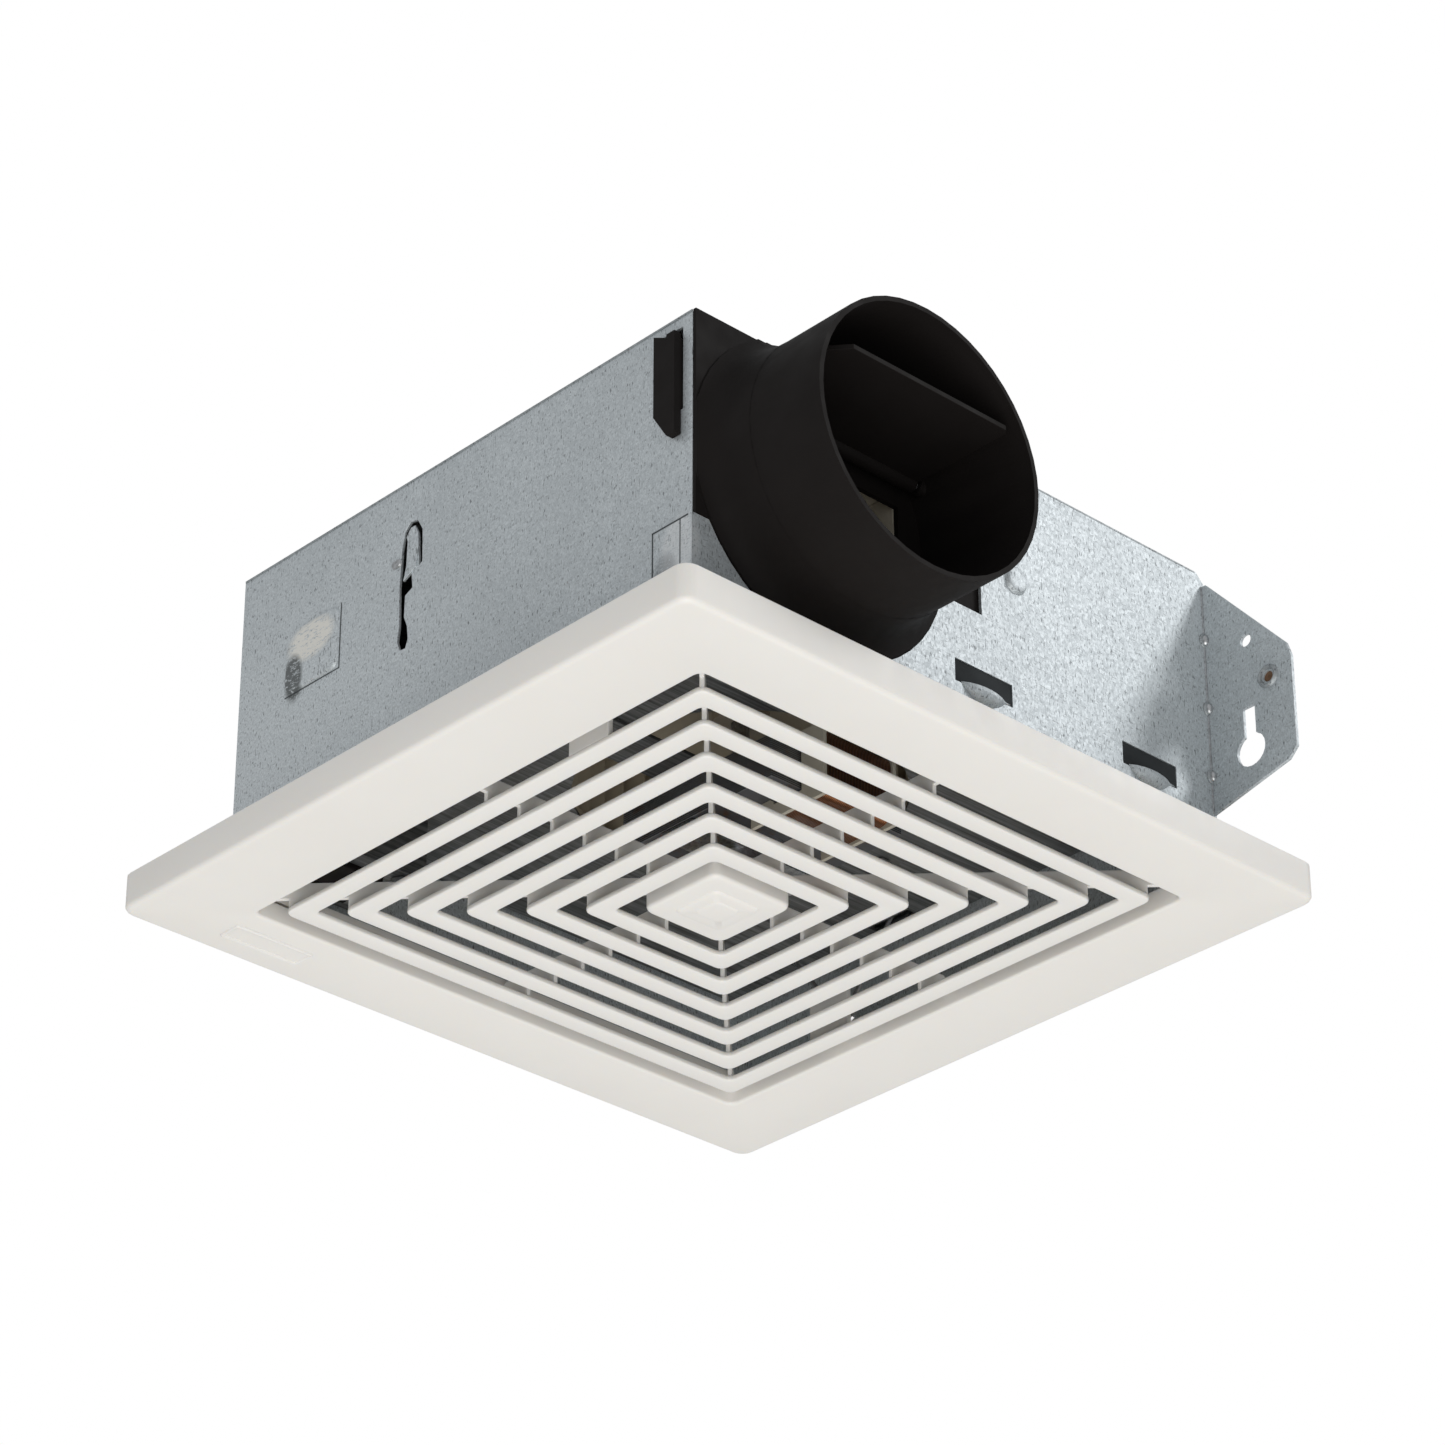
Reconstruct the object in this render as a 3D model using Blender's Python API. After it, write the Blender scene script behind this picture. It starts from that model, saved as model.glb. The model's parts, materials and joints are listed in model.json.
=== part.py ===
"""Bathroom extractor fan: galvanised ceiling housing, louvred grille, duct collar and blower.

Run with: blender --background --python part.py
Metres, +Z up into the ceiling. The origin is the centre of the grille on the ceiling plane.
+X points out of the duct, +Y towards the joist that the mounting ears screw to.
"""

import math

import bmesh
import bpy
from mathutils import Matrix, Vector

MM = 0.001
GAP = 0.3 * MM  # clearance between neighbouring pieces
ROUND = 48  # sides of a large circle
SMALL_ROUND = 20  # sides of a screw, pin or bearing

# Housing: outside faces of the sheet metal box
SHEET = 1.0 * MM
HOUSE_X0, HOUSE_X1 = -91.0 * MM, 93.1 * MM
HOUSE_Y0, HOUSE_Y1 = -94.5 * MM, 97.5 * MM
HOUSE_Z0, HOUSE_Z1 = 1.0 * MM, 92.0 * MM
CORNER_CUT = 3.0 * MM
LAP_START = 78.5 * MM  # the duct side panel folds round the corner on to the -Y wall

# Slot round the lanced hook of the -Y wall: x, z in mm
LANCE_SLOT = (
    (-22.9, 60.0), (-22.3, 72.0), (-21.2, 77.0), (-19.1, 79.0), (-16.1, 78.3), (-14.0, 74.5),
    (-13.7, 64.4), (-15.1, 63.6), (-15.6, 73.2), (-16.9, 76.0), (-18.9, 76.3), (-20.1, 74.2),
    (-20.5, 63.4), (-18.0, 62.2), (-17.5, 57.8), (-20.4, 56.6), (-20.6, 50.0), (-19.2, 46.6),
    (-18.7, 42.6), (-19.6, 40.0), (-21.9, 40.3), (-23.1, 43.4), (-22.5, 48.0),
)

# Mounting ear, bent out of each side panel in the plane of the +Y wall
EAR_REACH = 30.1 * MM
EAR_TOP, EAR_SHOULDER, EAR_FOOT, EAR_ROOT = 88.0 * MM, 56.5 * MM, 22.5 * MM, 16.0 * MM
EAR_NAIL_HOLE = (14.6 * MM, 64.6 * MM, 1.9 * MM)  # from the bend, height, radius
EAR_PILOT_HOLE = (21.8 * MM, 50.2 * MM, 1.6 * MM)
KEYHOLE_OUT, KEYHOLE_Z, KEYHOLE_R = 14.3 * MM, 30.6 * MM, 5.0 * MM
KEYHOLE_NECK, KEYHOLE_TOP = 2.1 * MM, 43.9 * MM

# Duct collar
PIPE_Y, PIPE_Z = -51.0 * MM, 53.0 * MM
PIPE_R, PIPE_WALL = 39.0 * MM, 1.4 * MM
PIPE_END = 132.9 * MM
FLANGE_R, FLANGE_PROUD = 44.8 * MM, 0.5 * MM
FLARE_R, FLARE_LENGTH = 43.0 * MM, 5.0 * MM
PLATE_T = 1.5 * MM
COLLAR_LOW = 8.0 * MM
NOTCH_Y = PIPE_Y + 24.0 * MM  # the top sheet leaves the collar this far from the corner
CORNER_OPEN_Y = PIPE_Y - 34.0 * MM  # the side panel stops here above CORNER_WINDOW_Z
CLIP_NECK = 4.8 * MM  # width of the clip's notched upper corner and of its lower chamfer
CORNER_WINDOW_Z = 30.3 * MM  # above this the metal leaves the near corner to the collar
OUTLET_Y = (-79.0 * MM, -21.5 * MM)
OUTLET_Z = (36.0 * MM, 64.0 * MM)
LATCH_WINDOW = (-3.0 * MM, 7.7 * MM, 42.6 * MM, 60.0 * MM)  # y, y, z, z
CLIP_X = (80.0 * MM, 87.8 * MM)
CLIP_Z = (56.0 * MM, 88.0 * MM)
CLIP_PROUD = 2.6 * MM

# Damper flap, drawn raised
HINGE_X, HINGE_Z = 95.6 * MM, 70.0 * MM
FLAP_HALF, FLAP_END, FLAP_T = 30.9 * MM, 131.0 * MM, 1.4 * MM
FLAP_CORNER = (7.0 * MM, 6.0 * MM)  # chamfer of the -Y corner, along X and along Y
FLAP_NIP = 1.2 * MM  # chamfer of the +Y corner
PIN_R, BARREL_R = 1.2 * MM, 2.6 * MM

# Slots along the foot of the duct side panel: y, y, z, z
PANEL_SLOTS = ((-3.0, 18.4, 18.8, 25.6), (60.6, 81.8, 18.6, 25.4))

# Motor plate and blower
AXIS_X, AXIS_Y = 4.0 * MM, 5.0 * MM
PLATE_Z = 24.0 * MM
INLET_R = 46.0 * MM
WHEEL_R, WHEEL_BORE, WHEEL_Z = 55.0 * MM, 47.5 * MM, (27.6 * MM, 61.6 * MM)
BLADES = 40
VOLUTE_START, VOLUTE_END = 60.0 * MM, 84.0 * MM
SCROLL_WALL, SCROLL_Z = 1.8 * MM, (25.3 * MM, 69.2 * MM)
SHAFT_R, SHAFT_Z = 2.5 * MM, (1.6 * MM, 64.5 * MM)
BORE_R = SHAFT_R + GAP

# Shaded pole motor, about its axis
STACK_Z = (5.5 * MM, 18.5 * MM)
STACK_X, STACK_HALF_Y = (-21.0 * MM, 37.0 * MM), 24.0 * MM
ROTOR_R = 13.2 * MM
BRACKET_Z = (22.7 * MM, 23.7 * MM)
LOWER_STRIP_Z, LOWER_HUB_Z = (3.7 * MM, 5.2 * MM), (0.8 * MM, 5.2 * MM)
UPPER_STRIP_Z, UPPER_HUB_Z = (18.8 * MM, 20.3 * MM), (18.8 * MM, 22.4 * MM)
BEARING_R, BEARING_HUB_R = 4.5 * MM, 7.5 * MM
BOBBIN_Z, BOBBIN_HALF_Y, BOBBIN_WALL = (1.0 * MM, 23.0 * MM), 13.5 * MM, 1.5 * MM
WINDOW_X, WINDOW_HALF_Y = (17.0 * MM, 27.0 * MM), 15.0 * MM
BOLT_Y, BOLT_R = 19.0 * MM, 1.5 * MM
STRAP_HALF, STRAP_REACH = 8.0 * MM, 58.0 * MM
STRAP_SCREW = 53.0 * MM

# Grille
GRILLE_HALF_X, GRILLE_HALF_Y = 111.8 * MM, 115.0 * MM
GRILLE_CORNER, GRILLE_EDGE = 4.0 * MM, 1.6 * MM
GRILLE_FACE = -10.8 * MM
GRILLE_WALL = 2.0 * MM
OPEN_HALF = 87.8 * MM
UPSTAND_WALL, UPSTAND_TOP = 1.7 * MM, -4.5 * MM  # the two sides along Y rise to the lip's level
DOME = 0.9 * MM  # how far the louvres hang below the border at the centre
RING_COUNT, RING_FIRST, RING_PITCH = 6, 79.2 * MM, 11.32 * MM
RING_W, RING_T, RING_CORNER = 5.9 * MM, 1.8 * MM, 2.2 * MM
HUB_HALF, HUB_DEEP = 14.3 * MM, 6.0 * MM
RIB_T, RIB_Z = 1.3 * MM, (-6.6 * MM, -1.8 * MM)
RIB_ROOT = 13.4 * MM

# Torsion springs that hold the grille up
SPRING_X, SPRING_Y, SPRING_Z = 40.0 * MM, 85.4 * MM, 1.6 * MM
SPRING_R, SPRING_WIRE, SPRING_TURNS = 4.4 * MM, 0.75 * MM, 2.5
SPRING_PITCH = 1.8 * MM
ARM_SHIFT = 2.2 * MM  # each arm leaves one end of the coil
ARM_LENGTH, ARM_SPREAD = 68.0 * MM, math.radians(38)
ARM_HOOK = 4.0 * MM
TAB_HALF, TAB_T, TAB_TOP = 7.5 * MM, 1.8 * MM, 7.5 * MM
ARM_SLOT = (11.5 * MM, 27.0 * MM, 1.6 * MM)  # from the spring's middle, and half width

# Screw that ties the motor plate to the wiring side panel's shelf
SHELF_REACH, SHELF_Y, SHELF_Z = 13.0 * MM, (60.0 * MM, 72.0 * MM), (26.0 * MM, 27.0 * MM)
PLATE_SCREW = (HOUSE_X0 + 8.0 * MM, 66.0 * MM)
SCREW_HOLE_R = 1.9 * MM

# Wiring compartment
WIRE_BOX = (-89.7 * MM, -62.0 * MM, -93.2 * MM, -50.0 * MM, 3.0 * MM, 23.4 * MM)
SOCKET = (-85.0 * MM, -68.0 * MM, -84.0 * MM, -60.0 * MM, 1.4 * MM, 16.0 * MM)
KNOCKOUT_Y, KNOCKOUT_Z, KNOCKOUT_R = -72.0 * MM, 13.4 * MM, 9.0 * MM

COLOURS = {
    "galvanised": ((0.55, 0.59, 0.61), 0.45, 0.9),
    "steel": ((0.60, 0.61, 0.62), 0.35, 1.0),
    "spring_steel": ((0.45, 0.45, 0.46), 0.30, 1.0),
    "black_plastic": ((0.012, 0.011, 0.011), 0.38, 0.0),
    "grille_plastic": ((0.78, 0.77, 0.74), 0.42, 0.0),
    "wheel_plastic": ((0.62, 0.56, 0.44), 0.50, 0.0),
    "bobbin_plastic": ((0.70, 0.66, 0.56), 0.50, 0.0),
    "laminated_steel": ((0.28, 0.29, 0.31), 0.50, 0.9),
    "copper": ((0.72, 0.30, 0.14), 0.32, 1.0),
    "bronze": ((0.52, 0.36, 0.16), 0.40, 1.0),
    "rubber": ((0.03, 0.03, 0.03), 0.80, 0.0),
    "ground_green": ((0.05, 0.30, 0.12), 0.40, 0.3),
}


def clear_scene():
    for thing in list(bpy.data.objects):
        bpy.data.objects.remove(thing, do_unlink=True)


def make_material(name, finish):
    colour, roughness, metallic = COLOURS[finish]
    material = bpy.data.materials.new(name)
    material.use_nodes = True
    shader = material.node_tree.nodes["Principled BSDF"]
    shader.inputs["Base Color"].default_value = (*colour, 1.0)
    shader.inputs["Roughness"].default_value = roughness
    shader.inputs["Metallic"].default_value = metallic
    return material


def add_object(name, mesh):
    thing = bpy.data.objects.new(name, mesh)
    fan.objects.link(thing)
    return thing


def finish_piece(thing, name, finish, smooth=False):
    """Name a shape as a piece of the fan and give it its material."""
    thing.name = name
    thing.data.name = name
    thing.data.materials.clear()
    thing.data.materials.append(make_material(name + "_material", finish))
    if smooth:
        thing.data.shade_smooth()
        thing.data.set_sharp_from_angle(angle=math.radians(35))
    return thing


def hang_on_pivot(name, place, pieces):
    """Parent moving pieces to an empty on their joint's axis, without moving them."""
    pivot = add_object(name, None)
    pivot.location = place
    for piece in pieces:
        piece.data.transform(Matrix.Translation(-Vector(place)))
        piece.parent = pivot


def box(x, y, z):
    """A block between two values on each axis."""
    form = bmesh.new()
    bmesh.ops.create_cube(form, size=1.0)
    size = Vector((x[1] - x[0], y[1] - y[0], z[1] - z[0]))
    middle = Vector((x[1] + x[0], y[1] + y[0], z[1] + z[0])) / 2
    bmesh.ops.scale(form, vec=size, verts=form.verts)
    bmesh.ops.translate(form, vec=middle, verts=form.verts)
    mesh = bpy.data.meshes.new("box")
    form.to_mesh(mesh)
    form.free()
    return add_object("box", mesh)


TURN = {
    "X": Matrix(((0, 0, 1), (1, 0, 0), (0, 1, 0))).to_4x4(),  # drawing x, y, height -> Y, Z, X
    "Y": Matrix(((1, 0, 0), (0, 0, -1), (0, 1, 0))).to_4x4(),  # -> X, Z, -Y
    "Z": Matrix.Identity(4),
}


def rod(axis, centre, span, radius, sides=SMALL_ROUND, end_radius=None):
    """A cylinder or cone along an axis. Centre is the two other coordinates, in axis order."""
    form = bmesh.new()
    bmesh.ops.create_cone(
        form,
        cap_ends=True,
        segments=sides,
        radius1=radius,
        radius2=radius if end_radius is None else end_radius,
        depth=span[1] - span[0],
    )
    bmesh.ops.translate(form, vec=(0, 0, (span[0] + span[1]) / 2), verts=form.verts)
    if axis == "X":
        place = Matrix.Translation((0, *centre)) @ TURN["X"]
    elif axis == "Y":
        place = Matrix.Translation((centre[0], 0, centre[1])) @ Matrix.Rotation(-math.pi / 2, 4, "X")
    else:
        place = Matrix.Translation((*centre, 0))
    bmesh.ops.transform(form, matrix=place, verts=form.verts)
    mesh = bpy.data.meshes.new("rod")
    form.to_mesh(mesh)
    form.free()
    return add_object("rod", mesh)


def mesh_from_curve(curve, place):
    """The welded mesh of a curve, moved by a matrix."""
    draft = add_object("draft", curve)
    bpy.context.view_layer.update()
    graph = bpy.context.evaluated_depsgraph_get()
    mesh = bpy.data.meshes.new_from_object(draft.evaluated_get(graph))
    bpy.data.objects.remove(draft)
    bpy.data.curves.remove(curve)
    form = bmesh.new()
    form.from_mesh(mesh)
    bmesh.ops.remove_doubles(form, verts=form.verts, dist=0.01 * MM)
    bmesh.ops.transform(form, matrix=place, verts=form.verts)
    bmesh.ops.recalc_face_normals(form, faces=form.faces)
    form.to_mesh(mesh)
    form.free()
    mesh.materials.clear()
    return mesh


def prism(axis, outlines, span):
    """Flat outlines, holes included, extruded along an axis from span[0] to span[1]."""
    curve = bpy.data.curves.new("outline", "CURVE")
    curve.dimensions = "2D"
    curve.fill_mode = "BOTH"
    curve.extrude = (span[1] - span[0]) / 2
    for outline in outlines:
        spline = curve.splines.new("POLY")
        spline.points.add(len(outline) - 1)
        for point, (across, up) in zip(spline.points, outline):
            point.co = (across, up, 0, 1)
        spline.use_cyclic_u = True
    middle = (span[0] + span[1]) / 2
    shift = {"X": (middle, 0, 0), "Y": (0, middle, 0), "Z": (0, 0, middle)}[axis]
    return add_object("prism", mesh_from_curve(curve, Matrix.Translation(shift) @ TURN[axis]))


def wire(points, radius):
    """A round wire along points."""
    curve = bpy.data.curves.new("wire", "CURVE")
    curve.dimensions = "3D"
    curve.bevel_depth = radius
    curve.bevel_resolution = 1
    curve.use_fill_caps = True
    spline = curve.splines.new("POLY")
    spline.points.add(len(points) - 1)
    for point, place in zip(spline.points, points):
        point.co = (*place, 1)
    return add_object("wire", mesh_from_curve(curve, Matrix.Identity(4)))


def combine(target, others, operation, solver="EXACT"):
    """Boolean each of the others into the target, then remove them."""
    for other in others:
        step = target.modifiers.new(operation.lower(), "BOOLEAN")
        step.operation = operation
        step.object = other
        step.solver = solver
    bpy.context.view_layer.update()
    graph = bpy.context.evaluated_depsgraph_get()
    mesh = bpy.data.meshes.new_from_object(target.evaluated_get(graph))
    target.modifiers.clear()
    target.data = mesh
    for other in others:
        bpy.data.objects.remove(other)
    return target


def unite(target, *others, solver="EXACT"):
    return combine(target, others, "UNION", solver)


def cut(target, *others, solver="EXACT"):
    return combine(target, others, "DIFFERENCE", solver)


def arc(centre, radius, start, end, steps):
    """Points of an arc, angles in degrees."""
    points = []
    for step in range(steps + 1):
        angle = math.radians(start + (end - start) * step / steps)
        points.append((centre[0] + radius * math.cos(angle), centre[1] + radius * math.sin(angle)))
    return points


def rounded_rectangle(half_x, half_y, radius, steps=3):
    points = []
    for start, side_x, side_y in ((0, 1, 1), (90, -1, 1), (180, -1, -1), (270, 1, -1)):
        centre = (side_x * (half_x - radius), side_y * (half_y - radius))
        points += arc(centre, radius, start, start + 90, steps)
    return points


def rectangle(across, up):
    return [(across[0], up[0]), (across[1], up[0]), (across[1], up[1]), (across[0], up[1])]


def soften(thing, width, wanted, segments=2):
    """Round the edges whose two ends the wanted function accepts."""
    form = bmesh.new()
    form.from_mesh(thing.data)
    bmesh.ops.dissolve_limit(
        form, angle_limit=math.radians(1), verts=form.verts, edges=form.edges
    )
    edges = [edge for edge in form.edges if all(wanted(vert.co) for vert in edge.verts)]
    bmesh.ops.bevel(
        form, geom=edges, offset=width, segments=segments, profile=0.5, affect="EDGES"
    )
    form.to_mesh(thing.data)
    form.free()
    return thing


# ---------------------------------------------------------------- housing


def ear(side):
    """The outline of a mounting ear and its holes, as a solid. Side is +1 at the duct, -1 opposite."""
    root = HOUSE_X1 - SHEET if side > 0 else HOUSE_X0 + SHEET
    bend = HOUSE_X1 if side > 0 else HOUSE_X0
    tip = bend + side * EAR_REACH
    outline = [
        (root, EAR_ROOT),
        (tip - side * 3 * MM, EAR_FOOT),
        (tip, EAR_FOOT + 3 * MM),
        (tip, EAR_SHOULDER - 3 * MM),
        (tip - side * 1.5 * MM, EAR_SHOULDER + 1.5 * MM),
        (bend + side * 1.5 * MM, EAR_TOP),
        (root, EAR_TOP),
    ]
    solid = prism("Y", [outline], (HOUSE_Y1 - SHEET, HOUSE_Y1))
    through = (HOUSE_Y1 - 2 * SHEET, HOUSE_Y1 + SHEET)
    cutters = []
    for out, height, radius in (EAR_NAIL_HOLE, EAR_PILOT_HOLE, (KEYHOLE_OUT, KEYHOLE_Z, KEYHOLE_R)):
        cutters.append(rod("Y", (bend + side * out, height), through, radius))
    neck = bend + side * KEYHOLE_OUT
    cutters.append(
        box((neck - KEYHOLE_NECK, neck + KEYHOLE_NECK), through, (KEYHOLE_Z, KEYHOLE_TOP))
    )
    return cut(solid, *cutters)


def build_housing_shell():
    inside_x = (HOUSE_X0 + SHEET + GAP, HOUSE_X1 - SHEET - GAP)
    front = box((HOUSE_X0, inside_x[1]), (HOUSE_Y0, HOUSE_Y0 + SHEET), (HOUSE_Z0, HOUSE_Z1))
    top = box(inside_x, (HOUSE_Y0, HOUSE_Y1), (HOUSE_Z1 - SHEET, HOUSE_Z1))
    back = box(inside_x, (HOUSE_Y1 - SHEET, HOUSE_Y1), (HOUSE_Z0, HOUSE_Z1))
    shell = unite(front, top, back)
    past_front = (HOUSE_Y0 - SHEET, HOUSE_Y0 + 2 * SHEET)
    clip_slot = box(
        (CLIP_X[0] - 0.4 * MM, CLIP_X[1] + 0.4 * MM),
        past_front,
        (CLIP_Z[0] + 7.6 * MM, CLIP_Z[1] + 0.6 * MM),
    )
    slit = prism("Y", [[(x * MM, z * MM) for x, z in LANCE_SLOT]], past_front)
    collar_notch = box(
        (HOUSE_X1 - SHEET - PLATE_T - 2 * GAP, HOUSE_X1 + SHEET),
        (HOUSE_Y0 + SHEET, NOTCH_Y),
        (HOUSE_Z1 - 2 * SHEET, HOUSE_Z1 + SHEET),
    )
    cut(shell, clip_slot, slit, collar_notch)
    finish_piece(shell, "housing_shell", "galvanised")


def side_panel(x, y, side):
    """A side wall with its corner chamfer and ear."""
    outline = [
        (y[0], HOUSE_Z0),
        (y[1], HOUSE_Z0),
        (y[1], HOUSE_Z1 - CORNER_CUT),
        (y[1] - CORNER_CUT, HOUSE_Z1),
        (y[0], HOUSE_Z1),
    ]
    return unite(prism("X", [outline], x), ear(side), solver="MANIFOLD")


def build_duct_side_panel():
    x = (HOUSE_X1 - SHEET, HOUSE_X1)
    lap_y = HOUSE_Y0 - SHEET - GAP
    panel = side_panel(x, (lap_y, HOUSE_Y1), 1)
    lap_x = (LAP_START, HOUSE_X1 - SHEET / 2)
    lap = box(lap_x, (lap_y, lap_y + SHEET), (HOUSE_Z0, CORNER_WINDOW_Z))
    unite(panel, lap, solver="MANIFOLD")
    past = (HOUSE_X1 - 2 * SHEET, HOUSE_X1 + SHEET)
    low_y = HOUSE_Y0 - 2 * SHEET
    cutters = [
        rod("X", (PIPE_Y, PIPE_Z), past, FLANGE_R + GAP, ROUND),
        box(past, (low_y, PIPE_Y), (PIPE_Z, HOUSE_Z1 + SHEET)),
        box(past, (low_y, CORNER_OPEN_Y), (CORNER_WINDOW_Z, PIPE_Z + SHEET)),
        box(past, LATCH_WINDOW[:2], LATCH_WINDOW[2:]),
    ]
    for y0, y1, z0, z1 in PANEL_SLOTS:
        cutters.append(box(past, (y0 * MM, y1 * MM), (z0 * MM, z1 * MM)))
    cut(panel, *cutters, solver="MANIFOLD")  # EXACT leaves slivers where the collar cuts meet
    finish_piece(panel, "duct_side_panel", "galvanised")


def build_wiring_side_panel():
    x = (HOUSE_X0, HOUSE_X0 + SHEET)
    panel = side_panel(x, (HOUSE_Y0 + SHEET + GAP, HOUSE_Y1), -1)
    shelf = box((HOUSE_X0, HOUSE_X0 + SHELF_REACH), SHELF_Y, SHELF_Z)
    unite(panel, shelf)
    past = (HOUSE_X0 - SHEET, HOUSE_X0 + 2 * SHEET)
    cut(
        panel,
        rod("X", (KNOCKOUT_Y, KNOCKOUT_Z), past, KNOCKOUT_R + GAP, SMALL_ROUND),
        rod("Z", PLATE_SCREW, (SHELF_Z[0] - SHEET, SHELF_Z[1] + SHEET), SCREW_HOLE_R),
    )
    finish_piece(panel, "wiring_side_panel", "galvanised")
    disc = rod("X", (KNOCKOUT_Y, KNOCKOUT_Z), x, KNOCKOUT_R, SMALL_ROUND)
    finish_piece(disc, "knockout_disc", "galvanised", smooth=True)


# ---------------------------------------------------------------- duct collar and damper


def collar_flange(start, low_y):
    """The round flange and its flare into the pipe, trimmed flush with the housing's top and corner."""
    centre = (PIPE_Y, PIPE_Z)
    flange = rod("X", centre, (start, HOUSE_X1 + FLANGE_PROUD), FLANGE_R, ROUND)
    flare = (HOUSE_X1, HOUSE_X1 + FLARE_LENGTH)
    unite(flange, rod("X", centre, flare, FLARE_R, ROUND, PIPE_R - 0.2 * MM))
    x = (start - MM, HOUSE_X1 + 2 * FLARE_LENGTH)
    return cut(
        flange,
        box(x, (low_y - 9 * MM, HOUSE_Y0), (0, HOUSE_Z1 + MM)),
        box((x[0], HOUSE_X1 - SHEET), (low_y - 9 * MM, low_y), (0, HOUSE_Z1 + MM)),
        box(x, (low_y - 9 * MM, PIPE_Y + FLANGE_R), (HOUSE_Z1, HOUSE_Z1 + 9 * MM)),
    )


def build_duct_collar():
    back = HOUSE_X1 - SHEET - GAP - PLATE_T
    front = back + PLATE_T
    low_y = HOUSE_Y0 + SHEET + GAP
    high_z = HOUSE_Z1
    collar = box((back, front), (low_y, LATCH_WINDOW[1] + 1.5 * MM), (COLLAR_LOW, high_z))
    notch_y = NOTCH_Y - GAP
    cut(collar, box((back - MM, front + MM), (notch_y, 20 * MM), (HOUSE_Z1 - SHEET - GAP, high_z + MM)))
    parts = [
        collar_flange(back + 0.5 * MM, low_y),
        rod("X", (PIPE_Y, PIPE_Z), (back + MM, PIPE_END), PIPE_R, ROUND),
    ]
    corners = (
        (PIPE_Y, PIPE_Z + GAP, high_z),
        (CORNER_OPEN_Y - GAP, CORNER_WINDOW_Z + GAP, PIPE_Z + MM),
    )
    for high_y, z0, z1 in corners:
        parts.append(box((back + 0.5 * MM, HOUSE_X1), (low_y, high_y), (z0, z1)))
        parts.append(box((HOUSE_X1 - SHEET, HOUSE_X1), (HOUSE_Y0, low_y + MM), (z0, z1)))
    clip_outline = [
        (CLIP_X[0], CLIP_Z[1]),
        (CLIP_X[0], CLIP_Z[0] + 7.5 * MM),
        (CLIP_X[0] + CLIP_NECK, CLIP_Z[0]),
        (CLIP_X[1], CLIP_Z[0]),
        (CLIP_X[1], CLIP_Z[1] - 1.4 * MM),
        (CLIP_X[0] + CLIP_NECK, CLIP_Z[1] - 1.4 * MM),
        (CLIP_X[0] + CLIP_NECK, CLIP_Z[1] - 2.4 * MM),
    ]
    parts.append(prism("Y", [clip_outline], (HOUSE_Y0 - CLIP_PROUD, HOUSE_Y0 - GAP)))
    parts.append(
        box(
            (CLIP_X[0] + 0.5 * MM, CLIP_X[1]),
            (HOUSE_Y0 - 2 * GAP, HOUSE_Y0 + 3 * SHEET),
            (CLIP_Z[0] + 8 * MM, CLIP_Z[1] - 3 * MM),
        )
    )
    parts.append(
        box(
            (CLIP_X[0] + 0.5 * MM, back + 0.5 * MM),
            (low_y, low_y + 1.8 * MM),
            (CLIP_Z[0] + 8 * MM, CLIP_Z[1] - 3 * MM),
        )
    )
    unite(collar, *parts, solver="MANIFOLD")  # EXACT leaves the flush corner posts open
    bore = rod("X", (PIPE_Y, PIPE_Z), (front, PIPE_END + MM), PIPE_R - PIPE_WALL, ROUND)
    outlet = box((back - MM, front + MM), OUTLET_Y, OUTLET_Z)
    cut(collar, bore, outlet, solver="MANIFOLD")
    boss_reach = FLAP_HALF + 1.2 * MM
    for side in (-1, 1):
        span = sorted((PIPE_Y + side * boss_reach, PIPE_Y + side * (boss_reach + 2.5 * MM)))
        unite(collar, rod("Y", (HINGE_X, HINGE_Z), span, BARREL_R), solver="MANIFOLD")
    pin_half = FLAP_HALF + 2.5 * MM
    cut(
        collar,
        rod("Y", (HINGE_X, HINGE_Z), (PIPE_Y - pin_half - GAP, PIPE_Y + pin_half + GAP), PIN_R + GAP),
        solver="MANIFOLD",
    )
    finish_piece(collar, "duct_collar", "black_plastic", smooth=True)


def build_damper():
    outline = [
        (HINGE_X, PIPE_Y - FLAP_HALF),
        (FLAP_END - FLAP_CORNER[0], PIPE_Y - FLAP_HALF),
        (FLAP_END, PIPE_Y - FLAP_HALF + FLAP_CORNER[1]),
        (FLAP_END, PIPE_Y + FLAP_HALF - FLAP_NIP),
        (FLAP_END - FLAP_NIP, PIPE_Y + FLAP_HALF),
        (HINGE_X, PIPE_Y + FLAP_HALF),
    ]
    flap = prism("Z", [outline], (HINGE_Z - FLAP_T / 2, HINGE_Z + FLAP_T / 2))
    width = (PIPE_Y - FLAP_HALF, PIPE_Y + FLAP_HALF)
    unite(flap, rod("Y", (HINGE_X, HINGE_Z), width, BARREL_R))
    past = (width[0] - MM, width[1] + MM)
    cut(flap, rod("Y", (HINGE_X, HINGE_Z), past, PIN_R + GAP))
    finish_piece(flap, "damper_flap", "black_plastic", smooth=True)
    hang_on_pivot("damper_pivot", (HINGE_X, PIPE_Y, HINGE_Z), [flap])
    pin_half = FLAP_HALF + 2.5 * MM
    pin = rod("Y", (HINGE_X, HINGE_Z), (PIPE_Y - pin_half, PIPE_Y + pin_half), PIN_R)
    finish_piece(pin, "damper_pin", "steel", smooth=True)


# ---------------------------------------------------------------- motor plate and blower


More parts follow.
